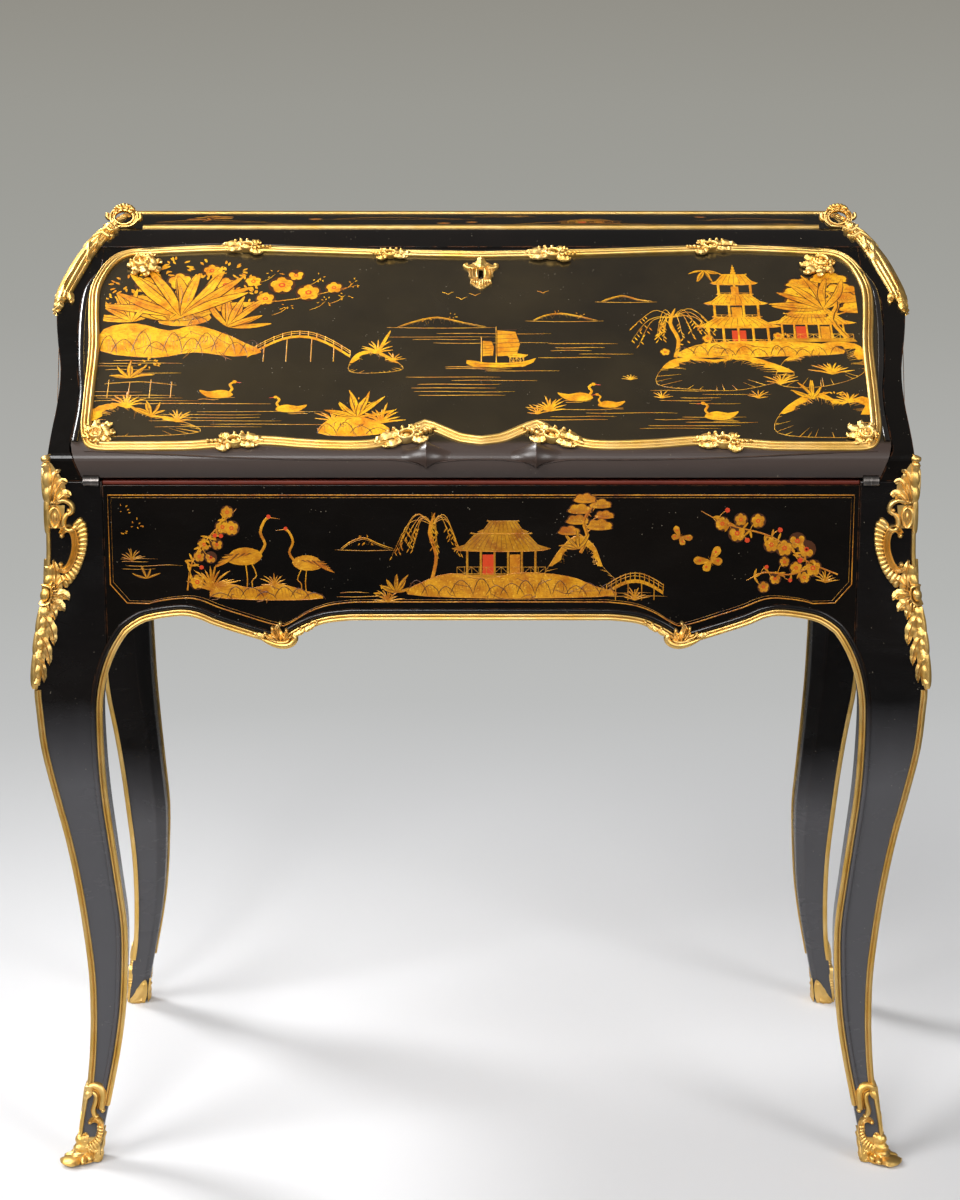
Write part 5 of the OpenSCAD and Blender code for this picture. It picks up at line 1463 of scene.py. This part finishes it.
def lattice(p, x0, y0, x1, y1, cells, tone="gold"):
    for y in (y0, y1):
        p.line([(x0, y), (x1, y)], 0.6, tone, taper=(1, 1))
    xs = [x0 + (x1 - x0) * k / cells for k in range(cells + 1)]
    for k, x in enumerate(xs):
        p.line([(x, y0), (x, y1)], 0.6, tone, taper=(1, 1))
        if k < cells:
            ends = (y0, y1) if k % 2 else (y1, y0)
            p.line([(x, ends[0]), (xs[k + 1], ends[1])], 0.48, tone, taper=(1, 1))


def pagoda(p, x, y, size):
    # a tower of open storeys, each with its roof and rail
    level, wide = y, size
    for k in range(3):
        tall, posts = size * 0.3 * (1 - 0.12 * k), 5 - k
        for px in [x - wide * 0.36 + wide * 0.72 * j / (posts - 1) for j in range(posts)]:
            p.line([(px, level), (px, level + tall)], size * 0.035, taper=(1, 1))
        p.wash(box(x - wide * 0.08, level, x + wide * 0.09, level + tall * 0.8), "amber" if k else "red", 0.1)
        lattice(p, x - wide * 0.38, level + tall * 0.02, x + wide * 0.38, level + tall * 0.26, 7 - k)
        roof(p, x, level + tall, wide * 0.92, size * 0.19, 11 - 2 * k, 0.56)
        level += tall + size * 0.16
        wide *= 0.74
    p.line([(x, level), (x, level + size * 0.22)], size * 0.03, taper=(1, 0.3))
    for k in range(3):
        p.dot(x, level + size * (0.06 + 0.05 * k), size * (0.07 - 0.015 * k))


def pavilion(p, x, y, size, tone="gold"):
    # an open tea-house on a railed terrace
    at = scaled(x, y, size)
    p.wash([at(-0.56, -0.06), at(0.56, -0.06), at(0.52, 0), at(-0.52, 0)], "old")
    for post in [0.16 * j - 0.4 for j in range(6)]:
        p.line([at(post, 0), at(post, 0.3)], size * 0.03, tone, taper=(1, 1))
    p.wash(box(*at(-0.22, 0), *at(-0.08, 0.24)), "red", 0.1)
    p.wash(box(*at(0.1, 0), *at(0.22, 0.24)), "amber", 0.1)
    lattice(p, *at(-0.52, 0.01), *at(0.52, 0.09), 12, tone)
    roof(p, *at(0, 0.29), size, size * 0.2, 15, tone=tone)
    roof(p, *at(0.02, 0.5), size * 0.52, size * 0.14, 9, tone=tone)


def pine(p, x, y, size, lean, clusters, seed):
    # a leaning trunk with shelves of needles
    dice, at = random.Random(seed), scaled(x, y, size)
    trunk = [(0, 0), (lean * 0.4, 0.3), (lean * 0.2, 0.6), (lean * 0.9, 0.95)]
    p.line([at(*q) for q in trunk], size * 0.075, "amber", 0.16, taper=(1.0, 0.35))
    p.line([at(a + 0.012, b) for a, b in trunk], size * 0.018, "dark", 0.21)
    needles = [math.radians(15 + 150 * j / 8) for j in range(9)]
    for k in range(clusters):
        t = 0.35 + 0.65 * k / (clusters - 1)
        side = 1 if k % 2 else -1
        bx, by = at(lean * t * 0.8, t * 0.92)
        cx, cy = bx + side * size * (0.42 - 0.25 * t) * dice.uniform(0.7, 1.1), by + size * 0.05
        p.line(bow((bx, by - size * 0.05), (cx, cy), 2 * side), size * 0.022, "amber", 0.16)
        wide = size * dice.uniform(0.15, 0.22)
        p.steady, lift = True, 0.13 + 0.012 * k
        for grow, tone, drop in ((1.12, "dark", 0.006), (1.0, "gold" if k % 3 else "amber", 0)):
            # a cloud with a lobed crown and a flat foot
            cloud = [(math.cos(a), math.sin(a), abs(math.sin(3.5 * a))) for a in turns(28)]
            p.wash([(cx + grow * wide * c * (1 + 0.13 * lobe),
                     cy + grow * wide * n * (0.62 + 0.16 * lobe if n > 0 else 0.24)) for c, n, lobe in cloud],
                   tone, lift - drop)
        for turn in needles:
            p.line([polar(cx, cy, turn, wide * 0.25, 0), (cx + wide * 0.9 * math.cos(turn),
                                                          cy + wide * 0.55 * math.sin(turn))],
                   0.7, "brown", lift + 0.004, taper=(0.8, 0.2))
        p.steady = False
        for turn in needles:
            p.line([polar(cx, cy, turn, wide * 0.8, 0.5), polar(cx, cy, turn, wide * 1.2, 0.55)], 0.6)


def willow(p, x, y, size, seed=6):
    dice, at = random.Random(seed), scaled(x, y, size)
    p.line([(x, y), at(0.06, 0.35), at(-0.04, 0.7), at(0.04, 1)], size * 0.06, "amber", 0.16, taper=(1, 0.3))
    for _ in range(15):
        side = dice.uniform(-1, 1)
        top = Vector(at(side * 0.22, dice.uniform(0.8, 1.02)))
        foot = Vector((x + side * size * 0.62, top.y - size * dice.uniform(0.35, 0.62)))
        p.line([at(0, 0.82), top, (top.x + side * size * 0.18, top.y - size * 0.12), foot], 0.7, lift=0.14,
               taper=(0.8, 0.2))
        for t in [0.35 + 0.12 * j for j in range(6)]:
            q = top.lerp(foot, t) + Vector((side * size * 0.08 * (1 - t), 0))
            blade(p, q, q + Vector((dice.choice((-1, 1)) * size * 0.035, -size * 0.06)), size * 0.016)


def crane(p, x, y, size, flip=1, wings=False):
    # a long-legged bird, standing or flying
    p.at(x, y, size, flip)
    if wings:
        p.wash([(-14, 0), (-8, 3), (4, 4), (11, 2), (13, 0), (4, -3), (-8, -3)], "gold", 0.13, 2)
        p.line([(12, 1), (19, 5), (25, 4)], 1.8, taper=(1, 0.7))
        p.line([(24.5, 4), (31, 2.5)], 0.9, "amber", taper=(1, 0.1))
        for k in range(7):
            tone = "gold" if k % 2 else "amber"
            blade(p, (2 - k * 1.2, 2), (-4 - k * 4, 25 - k * 2.2), 2.6, tone, 3)
            blade(p, (3 - k, -1), (10 - k * 5, -20 + k * 1.4), 2.4, tone, -3)
        for k in range(5):
            blade(p, (-12, 0), (-30 - k, 5 - 3 * k), 1.8)
    else:
        p.wash([(-12, 2), (-8, 7), (0, 9), (8, 7), (11, 3), (6, -2), (-4, -3), (-11, -1)], "gold", 0.13, 2)
        p.line([(9, 4), (13, 11), (10, 19), (13, 27), (16, 29)], 2.1, taper=(1, 0.9))
        p.line([(16, 29), (23, 28)], 1.0, "amber", taper=(1, 0.1))
        p.dot(15.5, 29.6, 3.0, "red", 0.22)
        for k in range(6):
            blade(p, (4 - k * 2, 5), (-14 - k * 1.4, 4 - k * 1.7), 2.0, "amber" if k % 2 else "brown", 1, 0.19)
        p.line([(0, -2), (1, -13), (0, -24)], 0.9, taper=(1, 0.8))
        p.line([(4, -2), (7, -10), (4, -14), (5, -24)], 0.9, taper=(1, 0.8))
        p.line([(-3, -24), (4, -24.5)], 0.7)
    p.at(0, 0)


def duck(p, x, y, size, flip=1):
    p.at(x, y, size, flip)
    p.wash([(-13, 2), (-15, 6), (-7, 4), (2, 6), (9, 4), (12, 0), (6, -3), (-6, -3)], "gold", 0.13, 2)
    p.line([(8, 2), (11, 7), (9, 12), (12, 15)], 2.4, taper=(1, 0.9))
    p.dot(12.5, 15, 3.6)
    p.line([(13, 15), (18, 14)], 1.3, "red", taper=(1, 0.2))
    for k in range(4):
        p.line([(4 - 3 * k, 3.5), (-4 - 3 * k, 1)], 0.6, "brown", 0.2)
    water(p, -14, -5, 30, 2, 2)
    p.at(0, 0)


def butterfly(p, x, y, size, turn):
    c, n = math.cos(turn), math.sin(turn)
    p.at(x, y, size)
    for sign in (1, -1):
        for ring in ([(0, 0), (9, 10), (15, 9), (14, 3), (6, 0)], [(0, 0), (9, -1), (11, -6), (6, -9), (1, -4)]):
            spun = [(sign * a * c - b * n, sign * a * n + b * c) for a, b in ring]
            p.wash(spun, "gold", 0.13, 3)
            far = Vector(spun[2])
            p.line([(0, 0), far * 0.8], 0.6, "brown", 0.2)
            p.dot(*(far * 0.62), 2.4, "red")
    p.line([(6 * n, -6 * c), (-5 * n, 5 * c)], 1.5, "amber", 0.2)
    p.at(0, 0)


def junk(p, x, y, size):
    # a sailing boat with battened sails
    p.at(x, y, size)
    p.wash([(-30, 5), (-24, -3), (20, -3), (31, 8), (24, 5), (10, 2), (-12, 2), (-22, 4)], "gold", 0.13, 2)
    p.line([(-27, 1), (0, -1), (24, 2)], 0.7, "brown", 0.2)
    for mast, foot, top, sail in ((-4, 2, 49, [(-3, 10), (14, 12), (17, 26), (13, 42), (-3, 44)]),
                                  (-17, 3, 35, [(-16, 10), (-7, 11), (-6, 22), (-8, 29), (-16, 30)])):
        p.line([(mast, foot), (mast, top)], 1.1, taper=(1, 0.6))
        p.wash(sail, "amber")
        for k in range(7):
            level = sail[0][1] + (sail[-1][1] - sail[0][1]) * k / 6
            p.line([(sail[0][0], level), (sail[2][0] - abs(k - 3) * 0.9, level + 1)], 0.6, "dark", 0.19, taper=(1, 1))
    lattice(p, 8, 3, 20, 9, 4)
    p.wash([(7, 9), (21, 9), (24, 12), (14, 14), (6, 11)], "gold", 0.14)
    p.at(0, 0)
    water(p, x - 36 * size, y - 8 * size, 84 * size, 4, 2.6)


def blossomBranch(p, points, size, flowers, seed):
    dice = random.Random(seed)
    path = smoothCurve(points, 6)
    p.line(path, 1.8, "amber", 0.16, taper=(1, 0.25), steps=1)
    for k in range(flowers):
        q = path[int((0.25 + 0.7 * k / flowers) * (len(path) - 1))]
        side = 1 if k % 2 else -1
        end = (q.x + dice.uniform(4, 10), q.y + side * dice.uniform(5, 12))
        p.line(bow(q, end, side * 1.5), 0.9)
        if k % 3 == 2:
            p.dot(*end, size * 0.7, "red")
        else:
            flower(p, *end, size * dice.uniform(0.8, 1.1))
        for _ in range(2):
            blade(p, q, polar(*q, dice.uniform(0, 6.28), 8), 2.2)


def islet(p, x, y, wide, tall, seed):
    # a low far shore: a gold crest, hatching under it and a few trees
    dice = random.Random(seed)
    crest = [(x - wide / 2, y), (x - wide * 0.3, y + tall * dice.uniform(0.5, 0.9)), (x - wide * 0.05, y + tall),
             (x + wide * 0.22, y + tall * dice.uniform(0.3, 0.7)), (x + wide / 2, y)]
    p.line(crest, 1.3, "gold", 0.15, taper=(0.3, 0.2), steps=5)
    p.line([(a, b - 1.6) for a, b in crest], 0.6, "old", 0.13, taper=(0.3, 0.2), steps=4)
    strokes = int(wide / 5)
    for sx in [x - wide / 2 + (k + 0.5) / strokes * wide for k in range(strokes)]:
        top = lookUp(crest, sx)
        p.line([(sx, top - 1), (sx + dice.uniform(-3, 3), y + (top - y) * 0.35)], 0.5, "faint", 0.13)
    p.line([(x - wide * 0.62, y - 1), (x, y - 2), (x + wide * 0.6, y - 1)], 0.8, "old")


def archBridge(p, x0, x1, y, rise):
    # a hump-backed bridge with a rail
    def arch(t, add):
        return x0 + (x1 - x0) * t, y + rise * math.sin(math.pi * t) + add
    p.wash([arch(k / 12, 3.2) for k in range(13)] + [arch(k / 12, -0.4) for k in range(12, -1, -1)], "gold", 0.12)
    for add, wide in ((9.5, 0.9), (6.6, 0.6)):
        p.line([arch(k / 8, add) for k in range(9)], wide, taper=(1, 1), steps=2)
    for t in [k / 12 for k in range(13)]:
        p.line([arch(t, 3), arch(t, 10.5)], 0.9, taper=(1, 1))
        p.line([arch(t, 0), arch(t, 3)], 0.5, "brown", 0.18, taper=(1, 1))
    for t in (0.16, 0.38, 0.62, 0.84):
        q = arch(t, 0)
        p.line([q, (q[0], y - 6)], 1.3, "old", taper=(1, 0.8))


# What is painted where

def many(p, draw, rows, *rest):
    for row in rows:
        draw(p, *row, *rest)


def paintLeft(p):
    # tall rock and terrace on the left, with a thicket of broad leaves and peonies over it
    goldRock(p, [(-384, 160), (-384, 192), (-352, 201), (-318, 190), (-292, 198), (-262, 186), (-240, 172),
                 (-222, 158), (-250, 152), (-290, 158), (-330, 150)], 3)
    many(p, fanPlant, [(-306, 212, 92, 14, 166, 19, ("gold", "amber", "gold")),
                       (-318, 206, 56, 25, 158, 13, ("old", "gold", "amber"), 0.13),
                       (-356, 204, 52, 35, 170, 11), (-258, 196, 54, 5, 130, 12, ("amber", "gold"))])
    many(p, spray, [(-366, 262, 17), (-340, 282, 17), (-318, 292, 15), (-286, 290, 18), (-262, 284, 17),
                    (-246, 264, 16), (-372, 238, 13), (-232, 246, 15), (-300, 240, 20), (-330, 240, 18),
                    (-276, 236, 16)], 15)
    many(p, flower, [(-206, 262, 12.5), (-178, 250, 12), (-222, 240, 9.5), (-192, 278, 8), (-345, 262, 12),
                     (-264, 262, 11.5), (-152, 258, 8.5), (-312, 268, 12.5)])
    for x, y in [(-214, 280), (-166, 274), (-140, 246), (-160, 236), (-198, 228), (-132, 266)]:
        spray(p, x, y, 8, 7)
        p.line(bow((x, y), (x - 16, y - 14), 2), 0.8)
    p.line([(-300, 214), (-240, 232), (-190, 240), (-128, 262)], 1.6, "amber", taper=(1, 0.2))
    goldRock(p, [(-330, 206), (-312, 226), (-290, 224), (-276, 210), (-290, 200), (-316, 198)], 5, "amber")
    fanPlant(p, -352, 120, 26, 10, 170, 9)
    many(p, flower, [(-360, 236, 9), (-280, 286, 9), (-236, 268, 8.5), (-320, 222, 8)])
    # hump-backed bridge to a small landing
    archBridge(p, -236, -132, 150, 30)
    crag(p, [(-132, 130), (-126, 154), (-108, 160), (-92, 150), (-78, 134), (-100, 128)], 5, 12)
    many(p, tuft, [(-104, 158, 22, 9), (-88, 146, 14, 7)])
    blade(p, (-104, 158), (-92, 190), 3.4)
    # shore below, with reeds, stakes and a resting duck
    water(p, -384, 128, 120, 5, 4.5)
    for k in range(4):
        p.line([(-372 + k * 21, 92), (-372 + k * 21, 118 - 3 * (k % 2))], 1.2, "old", taper=(1, 0.8))
    p.line([(-376, 112), (-340, 115), (-304, 110)], 1.0, "old")
    water(p, -384, 84, 180, 5, 4)
    spray(p, -334, 140, 10, 14)
    duck(p, -262, 96, 1.25)
    crag(p, [(-384, 44), (-384, 76), (-356, 84), (-330, 70), (-300, 62), (-276, 46), (-330, 40)], 6, 21)
    many(p, tuft, [(-352, 80, 24), (-300, 60, 20)])
    fanPlant(p, -326, 68, 22, 30, 150, 7)
    water(p, -290, 52, 190, 6, 4.2)
    duck(p, -190, 76, 1.15, -1)
    goldRock(p, [(-160, 44), (-150, 62), (-128, 68), (-104, 60), (-90, 46), (-124, 40)], 9)
    fanPlant(p, -122, 66, 40, 15, 165, 11, wide=0.085)
    many(p, tuft, [(-98, 58, 30, 11), (-146, 60, 22)])
    spray(p, -120, 84, 9, 10)


def paintRight(p):
    # open water with a sailing boat, far shores and a flight of birds
    many(p, islet, [(-40, 196, 90, 15, 3), (86, 206, 66, 11, 5), (150, 236, 52, 9, 7)])
    many(p, spray, [(-56, 208), (-30, 212), (78, 216), (100, 214)], 5, 6)
    junk(p, 20, 140, 1.15)
    many(p, water, [(-70, 172, 150, 4, 4.5), (70, 150, 100, 5, 5), (-60, 96, 130, 6, 5)])
    for x, y in [(-20, 240), (-6, 246), (-34, 248), (64, 250)]:
        p.line([(x - 6, y + 2.5), (x - 2, y + 1), (x, y - 1), (x + 2, y + 1), (x + 6, y + 3)], 0.9, steps=2)
    many(p, duck, [(96, 92, 1.3), (128, 82, 1.0, -1)])
    many(p, tuft, [(68, 74, 24, 11), (56, 70, 16, 7)])
    water(p, 70, 62, 120, 4, 4.5)
    # towered island on the right
    crag(p, [(176, 112), (186, 140), (206, 150), (236, 146), (262, 152), (292, 142), (314, 124), (262, 104),
             (214, 104)], 7, 31)
    crag(p, [(296, 112), (306, 146), (330, 158), (352, 172), (384, 166), (384, 128), (340, 108)], 8, 33)
    goldRock(p, [(198, 152), (218, 168), (262, 174), (318, 173), (352, 168), (366, 156), (300, 152), (240, 150)], 11)
    fanPlant(p, 352, 224, 62, 40, 175, 13, ("amber", "gold"))
    pagoda(p, 262, 170, 84)
    pavilion(p, 338, 178, 78)
    pine(p, 372, 180, 92, -0.35, 8, 5)
    willow(p, 196, 150, 74)
    many(p, spray, [(214, 168, 12, 14), (312, 174, 12, 14), (288, 168, 9, 10)])
    many(p, flower, [(230, 178, 5.5), (302, 182, 5), (186, 158, 5)])
    fanPlant(p, 232, 286, 22, 200, 340, 7)
    many(p, tuft, [(352, 126, 24, 11), (300, 112, 20)])
    # foreground on the right
    crag(p, [(292, 44), (296, 70), (318, 92), (338, 98), (358, 86), (384, 92), (384, 44), (340, 38)], 8, 41)
    fanPlant(p, 330, 92, 26, 25, 155, 9)
    tuft(p, 366, 86, 22)
    spray(p, 352, 96, 10)
    duck(p, 236, 66, 1.25, -1)
    many(p, water, [(190, 84, 110, 5, 4.5), (170, 50, 120, 5, 4)])
    many(p, tuft, [(180, 92, 12), (276, 92, 14), (150, 118, 10)], 7)


def border(p, points, wide, lift):
    p.line(points, wide, "worn", lift, taper=(1, 1), steps=1, closed=True)


def paintFrieze(p):
    low = [(q.x * 0.985, q.y + 17) for q in frontEdge if abs(q.x) < 336]
    for _ in range(3):
        low = [low[0]] + [(b[0], (a[1] + b[1] + c[1]) / 3) for a, b, c in zip(low, low[1:], low[2:])] + [low[-1]]
    ring = [(-366, 706), (366, 706), (366, 616), (350, 597), *low[::-1], (-350, 597), (-366, 616)]
    border(p, ring, 1.3, 0.16)
    p.line([(a * 0.992, b - 2.6 if b > 700 else b + 2.4) for a, b in ring], 0.5, "faint", 0.14, taper=(1, 1), steps=1,
           closed=True)
    p.limit = 354
    # plants far left
    many(p, spray, [(-352, 690), (-340, 676), (-356, 668)], 7, 8)
    tuft(p, -344, 640, 14, 9, "old")
    water(p, -360, 632, 70, 4, 3.4)
    fanPlant(p, -330, 622, 15, 20, 160, 7, wide=0.09)
    # two cranes by the water
    many(p, crane, [(-232, 640, 1.5), (-172, 634, 1.3, -1)])
    goldRock(p, [(-268, 604), (-250, 616), (-226, 612), (-204, 617), (-176, 610), (-156, 602), (-210, 600)], 15)
    many(p, tuft, [(-266, 610, 30, 13), (-204, 614, 16)])
    blossomBranch(p, [(-290, 610), (-284, 640), (-264, 668), (-240, 692)], 6.5, 11, 17)
    # island with a tea-house, a bridge and a willow
    goldRock(p, [(-72, 606), (-58, 618), (-30, 627), (6, 622), (40, 628), (86, 624), (112, 614), (134, 605),
                 (60, 602), (0, 602)], 19)
    pavilion(p, 20, 626, 84, "old")
    crag(p, [(62, 612), (72, 642), (92, 664), (110, 656), (120, 634), (134, 612)], 7, 23)
    fanPlant(p, 96, 652, 22, 20, 170, 9)
    pine(p, 98, 648, 54, 0.3, 7, 9)
    willow(p, -48, 622, 66, 13)
    archBridge(p, 124, 180, 606, 12)
    fanPlant(p, -84, 608, 22, 20, 160, 9)
    islet(p, -112, 652, 52, 11, 9)
    many(p, spray, [(-112, 660, 8, 10), (-96, 606, 9, 12)])
    many(p, tuft, [(-92, 598, 18), (152, 600, 16)])
    many(p, water, [(-150, 604, 80), (140, 604, 80)], 2, 3)
    # blossom and butterflies on the right
    many(p, blossomBranch, [([(352, 626), (320, 640), (286, 664), (244, 676), (216, 690)], 7.5, 13, 29),
                            ([(330, 636), (306, 626), (280, 628), (262, 620)], 6.0, 7, 31)])
    many(p, butterfly, [(226, 640, 0.95, 0.5), (196, 664, 0.7, -0.6)])
    tuft(p, 340, 618, 16)


def paintTop(p):
    many(p, islet, [(-290, 120, 120, 22, 3), (-90, 150, 140, 18, 5), (110, 100, 150, 24, 7), (300, 140, 110, 18, 9)])
    pine(p, -300, 128, 50, 0.3, 5, 3)
    pavilion(p, 118, 112, 60, "faint")
    for x, y in [(-340, 84), (-210, 90), (0, 86), (200, 84), (330, 92), (40, 170)]:
        water(p, x - 40, y, 90, 4, 5, "faint")
        tuft(p, x, y, 22, 9, "faint")
    many(p, flower, [(-40, 110, 7), (-10, 120, 6), (240, 170, 6), (-180, 150, 7)], "worn")


def paintSide(p):
    # upper flank inside a thin line, lower apron with its own border
    border(p, [(196, 735), (-150, 735), (-158, 752), (-70, 842), (-20, 888), (30, 914), (196, 914)], 1.8, 0.2)
    many(p, blossomBranch, [([(176, 744), (120, 776), (60, 800), (6, 846)], 8, 15, 33),
                            ([(150, 760), (150, 806), (128, 850), (140, 892)], 7, 12, 35)])
    crag(p, [(120, 738), (136, 762), (160, 770), (186, 756), (192, 738)], 6, 51)
    crane(p, -20, 770, 1.3)
    goldRock(p, [(-92, 738), (-70, 748), (-30, 750), (10, 746), (30, 738)], 23)
    many(p, tuft, [(-84, 746, 26, 11), (18, 744, 22)])
    many(p, butterfly, [(50, 866, 1.0, 0.4), (-20, 838, 0.8, -0.4)])
    low = [(q.x * 0.94, q.y + 17) for q in sideEdge if abs(q.x) < 150]
    border(p, [(-158, 706), (158, 706), (158, 612), *low[::-1], (-158, 612)], 1.8, 0.2)
    islet(p, 60, 640, 110, 16, 11)
    pine(p, 66, 648, 46, 0.3, 7, 15)
    pavilion(p, -50, 626, 62, "old")
    goldRock(p, [(-96, 612), (-84, 624), (-40, 628), (-8, 622), (6, 612), (-44, 604)], 25)
    many(p, water, [(-120, 600, 90, 3, 3), (10, 620, 110, 4, 4)])
    tuft(p, -110, 612, 18)
    crane(p, 20, 682, 0.6, 1, True)


def paintBack(p):
    border(p, [(-350, 750), (350, 750), (350, 900), (320, 915), (-320, 915), (-350, 900)], 1.8, 0.2)
    many(p, tuft, [(-250, 770, 34), (-60, 764, 26), (170, 768, 36), (300, 764, 24)], 11, "old")
    many(p, blossomBranch, [([(-330, 762), (-260, 800), (-190, 830), (-110, 872)], 10, 16, 37),
                            ([(330, 762), (280, 810), (230, 840), (150, 868)], 9, 14, 39)])
    islet(p, 30, 800, 150, 22, 13)
    pine(p, 40, 812, 60, 0.3, 7, 17)
    water(p, -60, 780, 180, 5, 5)


def painted(draw, *surface):
    p = Painter(*surface)
    draw(p)
    return p.tray


def paintPiece(name, tray, look="friezeGold", body="case"):
    finishPiece(name, tray, look, body, crease=80)


paintPiece("fallPainting_left", painted(paintLeft, onFall, 12, 386), "fallGold", "fall")
paintPiece("fallPainting_right", painted(paintRight, onFall, 12, 386), "fallGold", "fall")
paintPiece("friezePainting", painted(paintFrieze, onFrieze, 900))
paintPiece("topPainting", painted(paintTop, lambda x, y, h: onTop(x, y, 0.2 * h), 900, 350))
sideTray = painted(paintSide, sideOut, 6)
paintPiece("sidePainting_left", sideTray)
paintPiece("sidePainting_right", sideTray.flipped(-1, 1))
paintPiece("backPainting", painted(paintBack, onBack, 900))
print("painting done")


# Floor, backdrop, lamps and camera

# backdrop gives the paper's glow from near to far: a painted falloff of the studio light
studio = {"floorSize": 20, "wallY": 7.5, "wallTop": 6.0, "bend": 2.0, "front": -7.0, "paper": (0.62, 0.62, 0.63),
          "lit": (1.5, 0.55), "glow": 0.1, "mirrored": 0.12, "air": 0.2,
          "backdrop": [(0, (0.70, 0.705, 0.71)), (0.08, (0.56, 0.565, 0.57)), (0.15, (0.47, 0.475, 0.47)),
                       (0.22, (0.435, 0.44, 0.425)), (0.44, (0.39, 0.39, 0.37)), (0.65, (0.345, 0.345, 0.32)),
                       (0.81, (0.315, 0.31, 0.28)), (1, (0.25, 0.235, 0.2))]}
lamps = {"keyLamp": {"place": (-1.9, 1.1, 2.6), "aim": (0, 0, 0.4), "size": (0.7, 0.7), "power": 22, "spread": 100},
         "sideLamp": {"place": (-2.3, -1.5, 2.7), "aim": (0, 0, 0.6), "size": (1.6, 1.6), "power": 20, "spread": 80},
         "fillLamp": {"place": (2.3, -2.4, 2.2), "aim": (0, 0, 0.6), "size": (1.2, 1.8), "power": 9, "spread": 70},
         "frontLamp": {"place": (-0.7, -3.2, 2.5), "aim": (0, 0, 0.75), "size": (1.2, 1.2), "power": 11, "spread": 56}}


def makeStage():
    # one sheet that runs up far behind the desk in a soft bend
    shape = bmesh.new()
    bend, wallY = studio["bend"], studio["wallY"]
    rows = [(studio["front"], 0.0), (0.0, 0.0)]
    rows += [(wallY - bend + bend * math.sin(a), bend * (1 - math.cos(a)))
             for a in [math.radians(6 * k) for k in range(16)]]
    rows.append((wallY, studio["wallTop"]))
    bmesh.ops.create_grid(shape, x_segments=2, y_segments=len(rows) - 1, size=1)
    for v in shape.verts:
        j = round((v.co.y + 1) / 2 * (len(rows) - 1))
        v.co = Vector((v.co.x * studio["floorSize"] / 2, rows[j][0], rows[j][1]))
    mesh = bpy.data.meshes.new("studioSheet")
    shape.to_mesh(mesh)
    shape.free()
    mesh.shade_smooth()
    m = Recipe("studioPaper")
    place = m.node("SeparateXYZ", m.where()).outputs
    reach = m.node("VectorMath", m.where(), operation="LENGTH").outputs["Value"]
    away = m.remap(reach, *studio["lit"])
    # beyond the lit floor, where its own colour turns near black, the camera alone sees the paper's glow, a painted
    # falloff of the studio light, paler below than above; near the desk a weaker glow adds painted light to the lit
    # paper
    far = m.remap(m.plus(place["Y"], m.times(place["Z"], 2.0)), 0.0, 10.0)
    paintedFalloff = m.node("ValToRGB", far)
    ramp = paintedFalloff.color_ramp.elements
    for share, shade in studio["backdrop"]:
        stop = ramp[0] if share == 0 else ramp[-1] if share == 1 else ramp.new(share)
        stop.color = (*shade, 1)
    path = m.node("LightPath").outputs
    seen = m.maths("MAXIMUM", path["Is Camera Ray"], m.times(path["Is Glossy Ray"], studio["mirrored"]))
    m.set({"Base Color": m.mix(away, (0.05, 0.05, 0.05), studio["paper"]), "Roughness": 0.9,
           "Specular IOR Level": 0.1, "Emission Color": paintedFalloff.outputs[0],
           "Emission Strength": m.times(seen, m.remap(away, 0.0, 1.0, 1.0, studio["glow"]))})
    mesh.materials.append(m.material)
    sheet = bpy.data.objects.new("studioSheet", mesh)
    scene.collection.objects.link(sheet)


def addLamp(name, look):
    data = bpy.data.lights.new(name, "AREA")
    data.shape = "RECTANGLE"
    data.size, data.size_y = look["size"]
    data.energy = look["power"]
    data.spread = math.radians(look["spread"])
    lamp = bpy.data.objects.new(name, data)
    scene.collection.objects.link(lamp)
    lamp.location = look["place"]
    lamp.rotation_euler = (Vector(look["aim"]) - Vector(look["place"])).to_track_quat("-Z", "Y").to_euler()


makeStage()
for name, look in lamps.items():
    addLamp(name, look)
world = bpy.data.worlds.new("studioAir")
world.use_nodes = True
world.node_tree.nodes["Background"].inputs["Color"].default_value = (1.0, 0.99, 0.97, 1)
world.node_tree.nodes["Background"].inputs["Strength"].default_value = studio["air"]
scene.world = world

view = {"lens": 84, "place": (-0.001, -2.907, 1.270), "pitch": 14}
lens = bpy.data.cameras.new("photoCamera")
lens.lens = view["lens"]
lens.sensor_width = 36
camera = bpy.data.objects.new("photoCamera", lens)
camera.location = view["place"]
camera.rotation_euler = (math.radians(90 - view["pitch"]), 0, 0)
scene.collection.objects.link(camera)
scene.camera = camera
scene.view_settings.view_transform = "Standard"
print("stage, lamps and camera set")
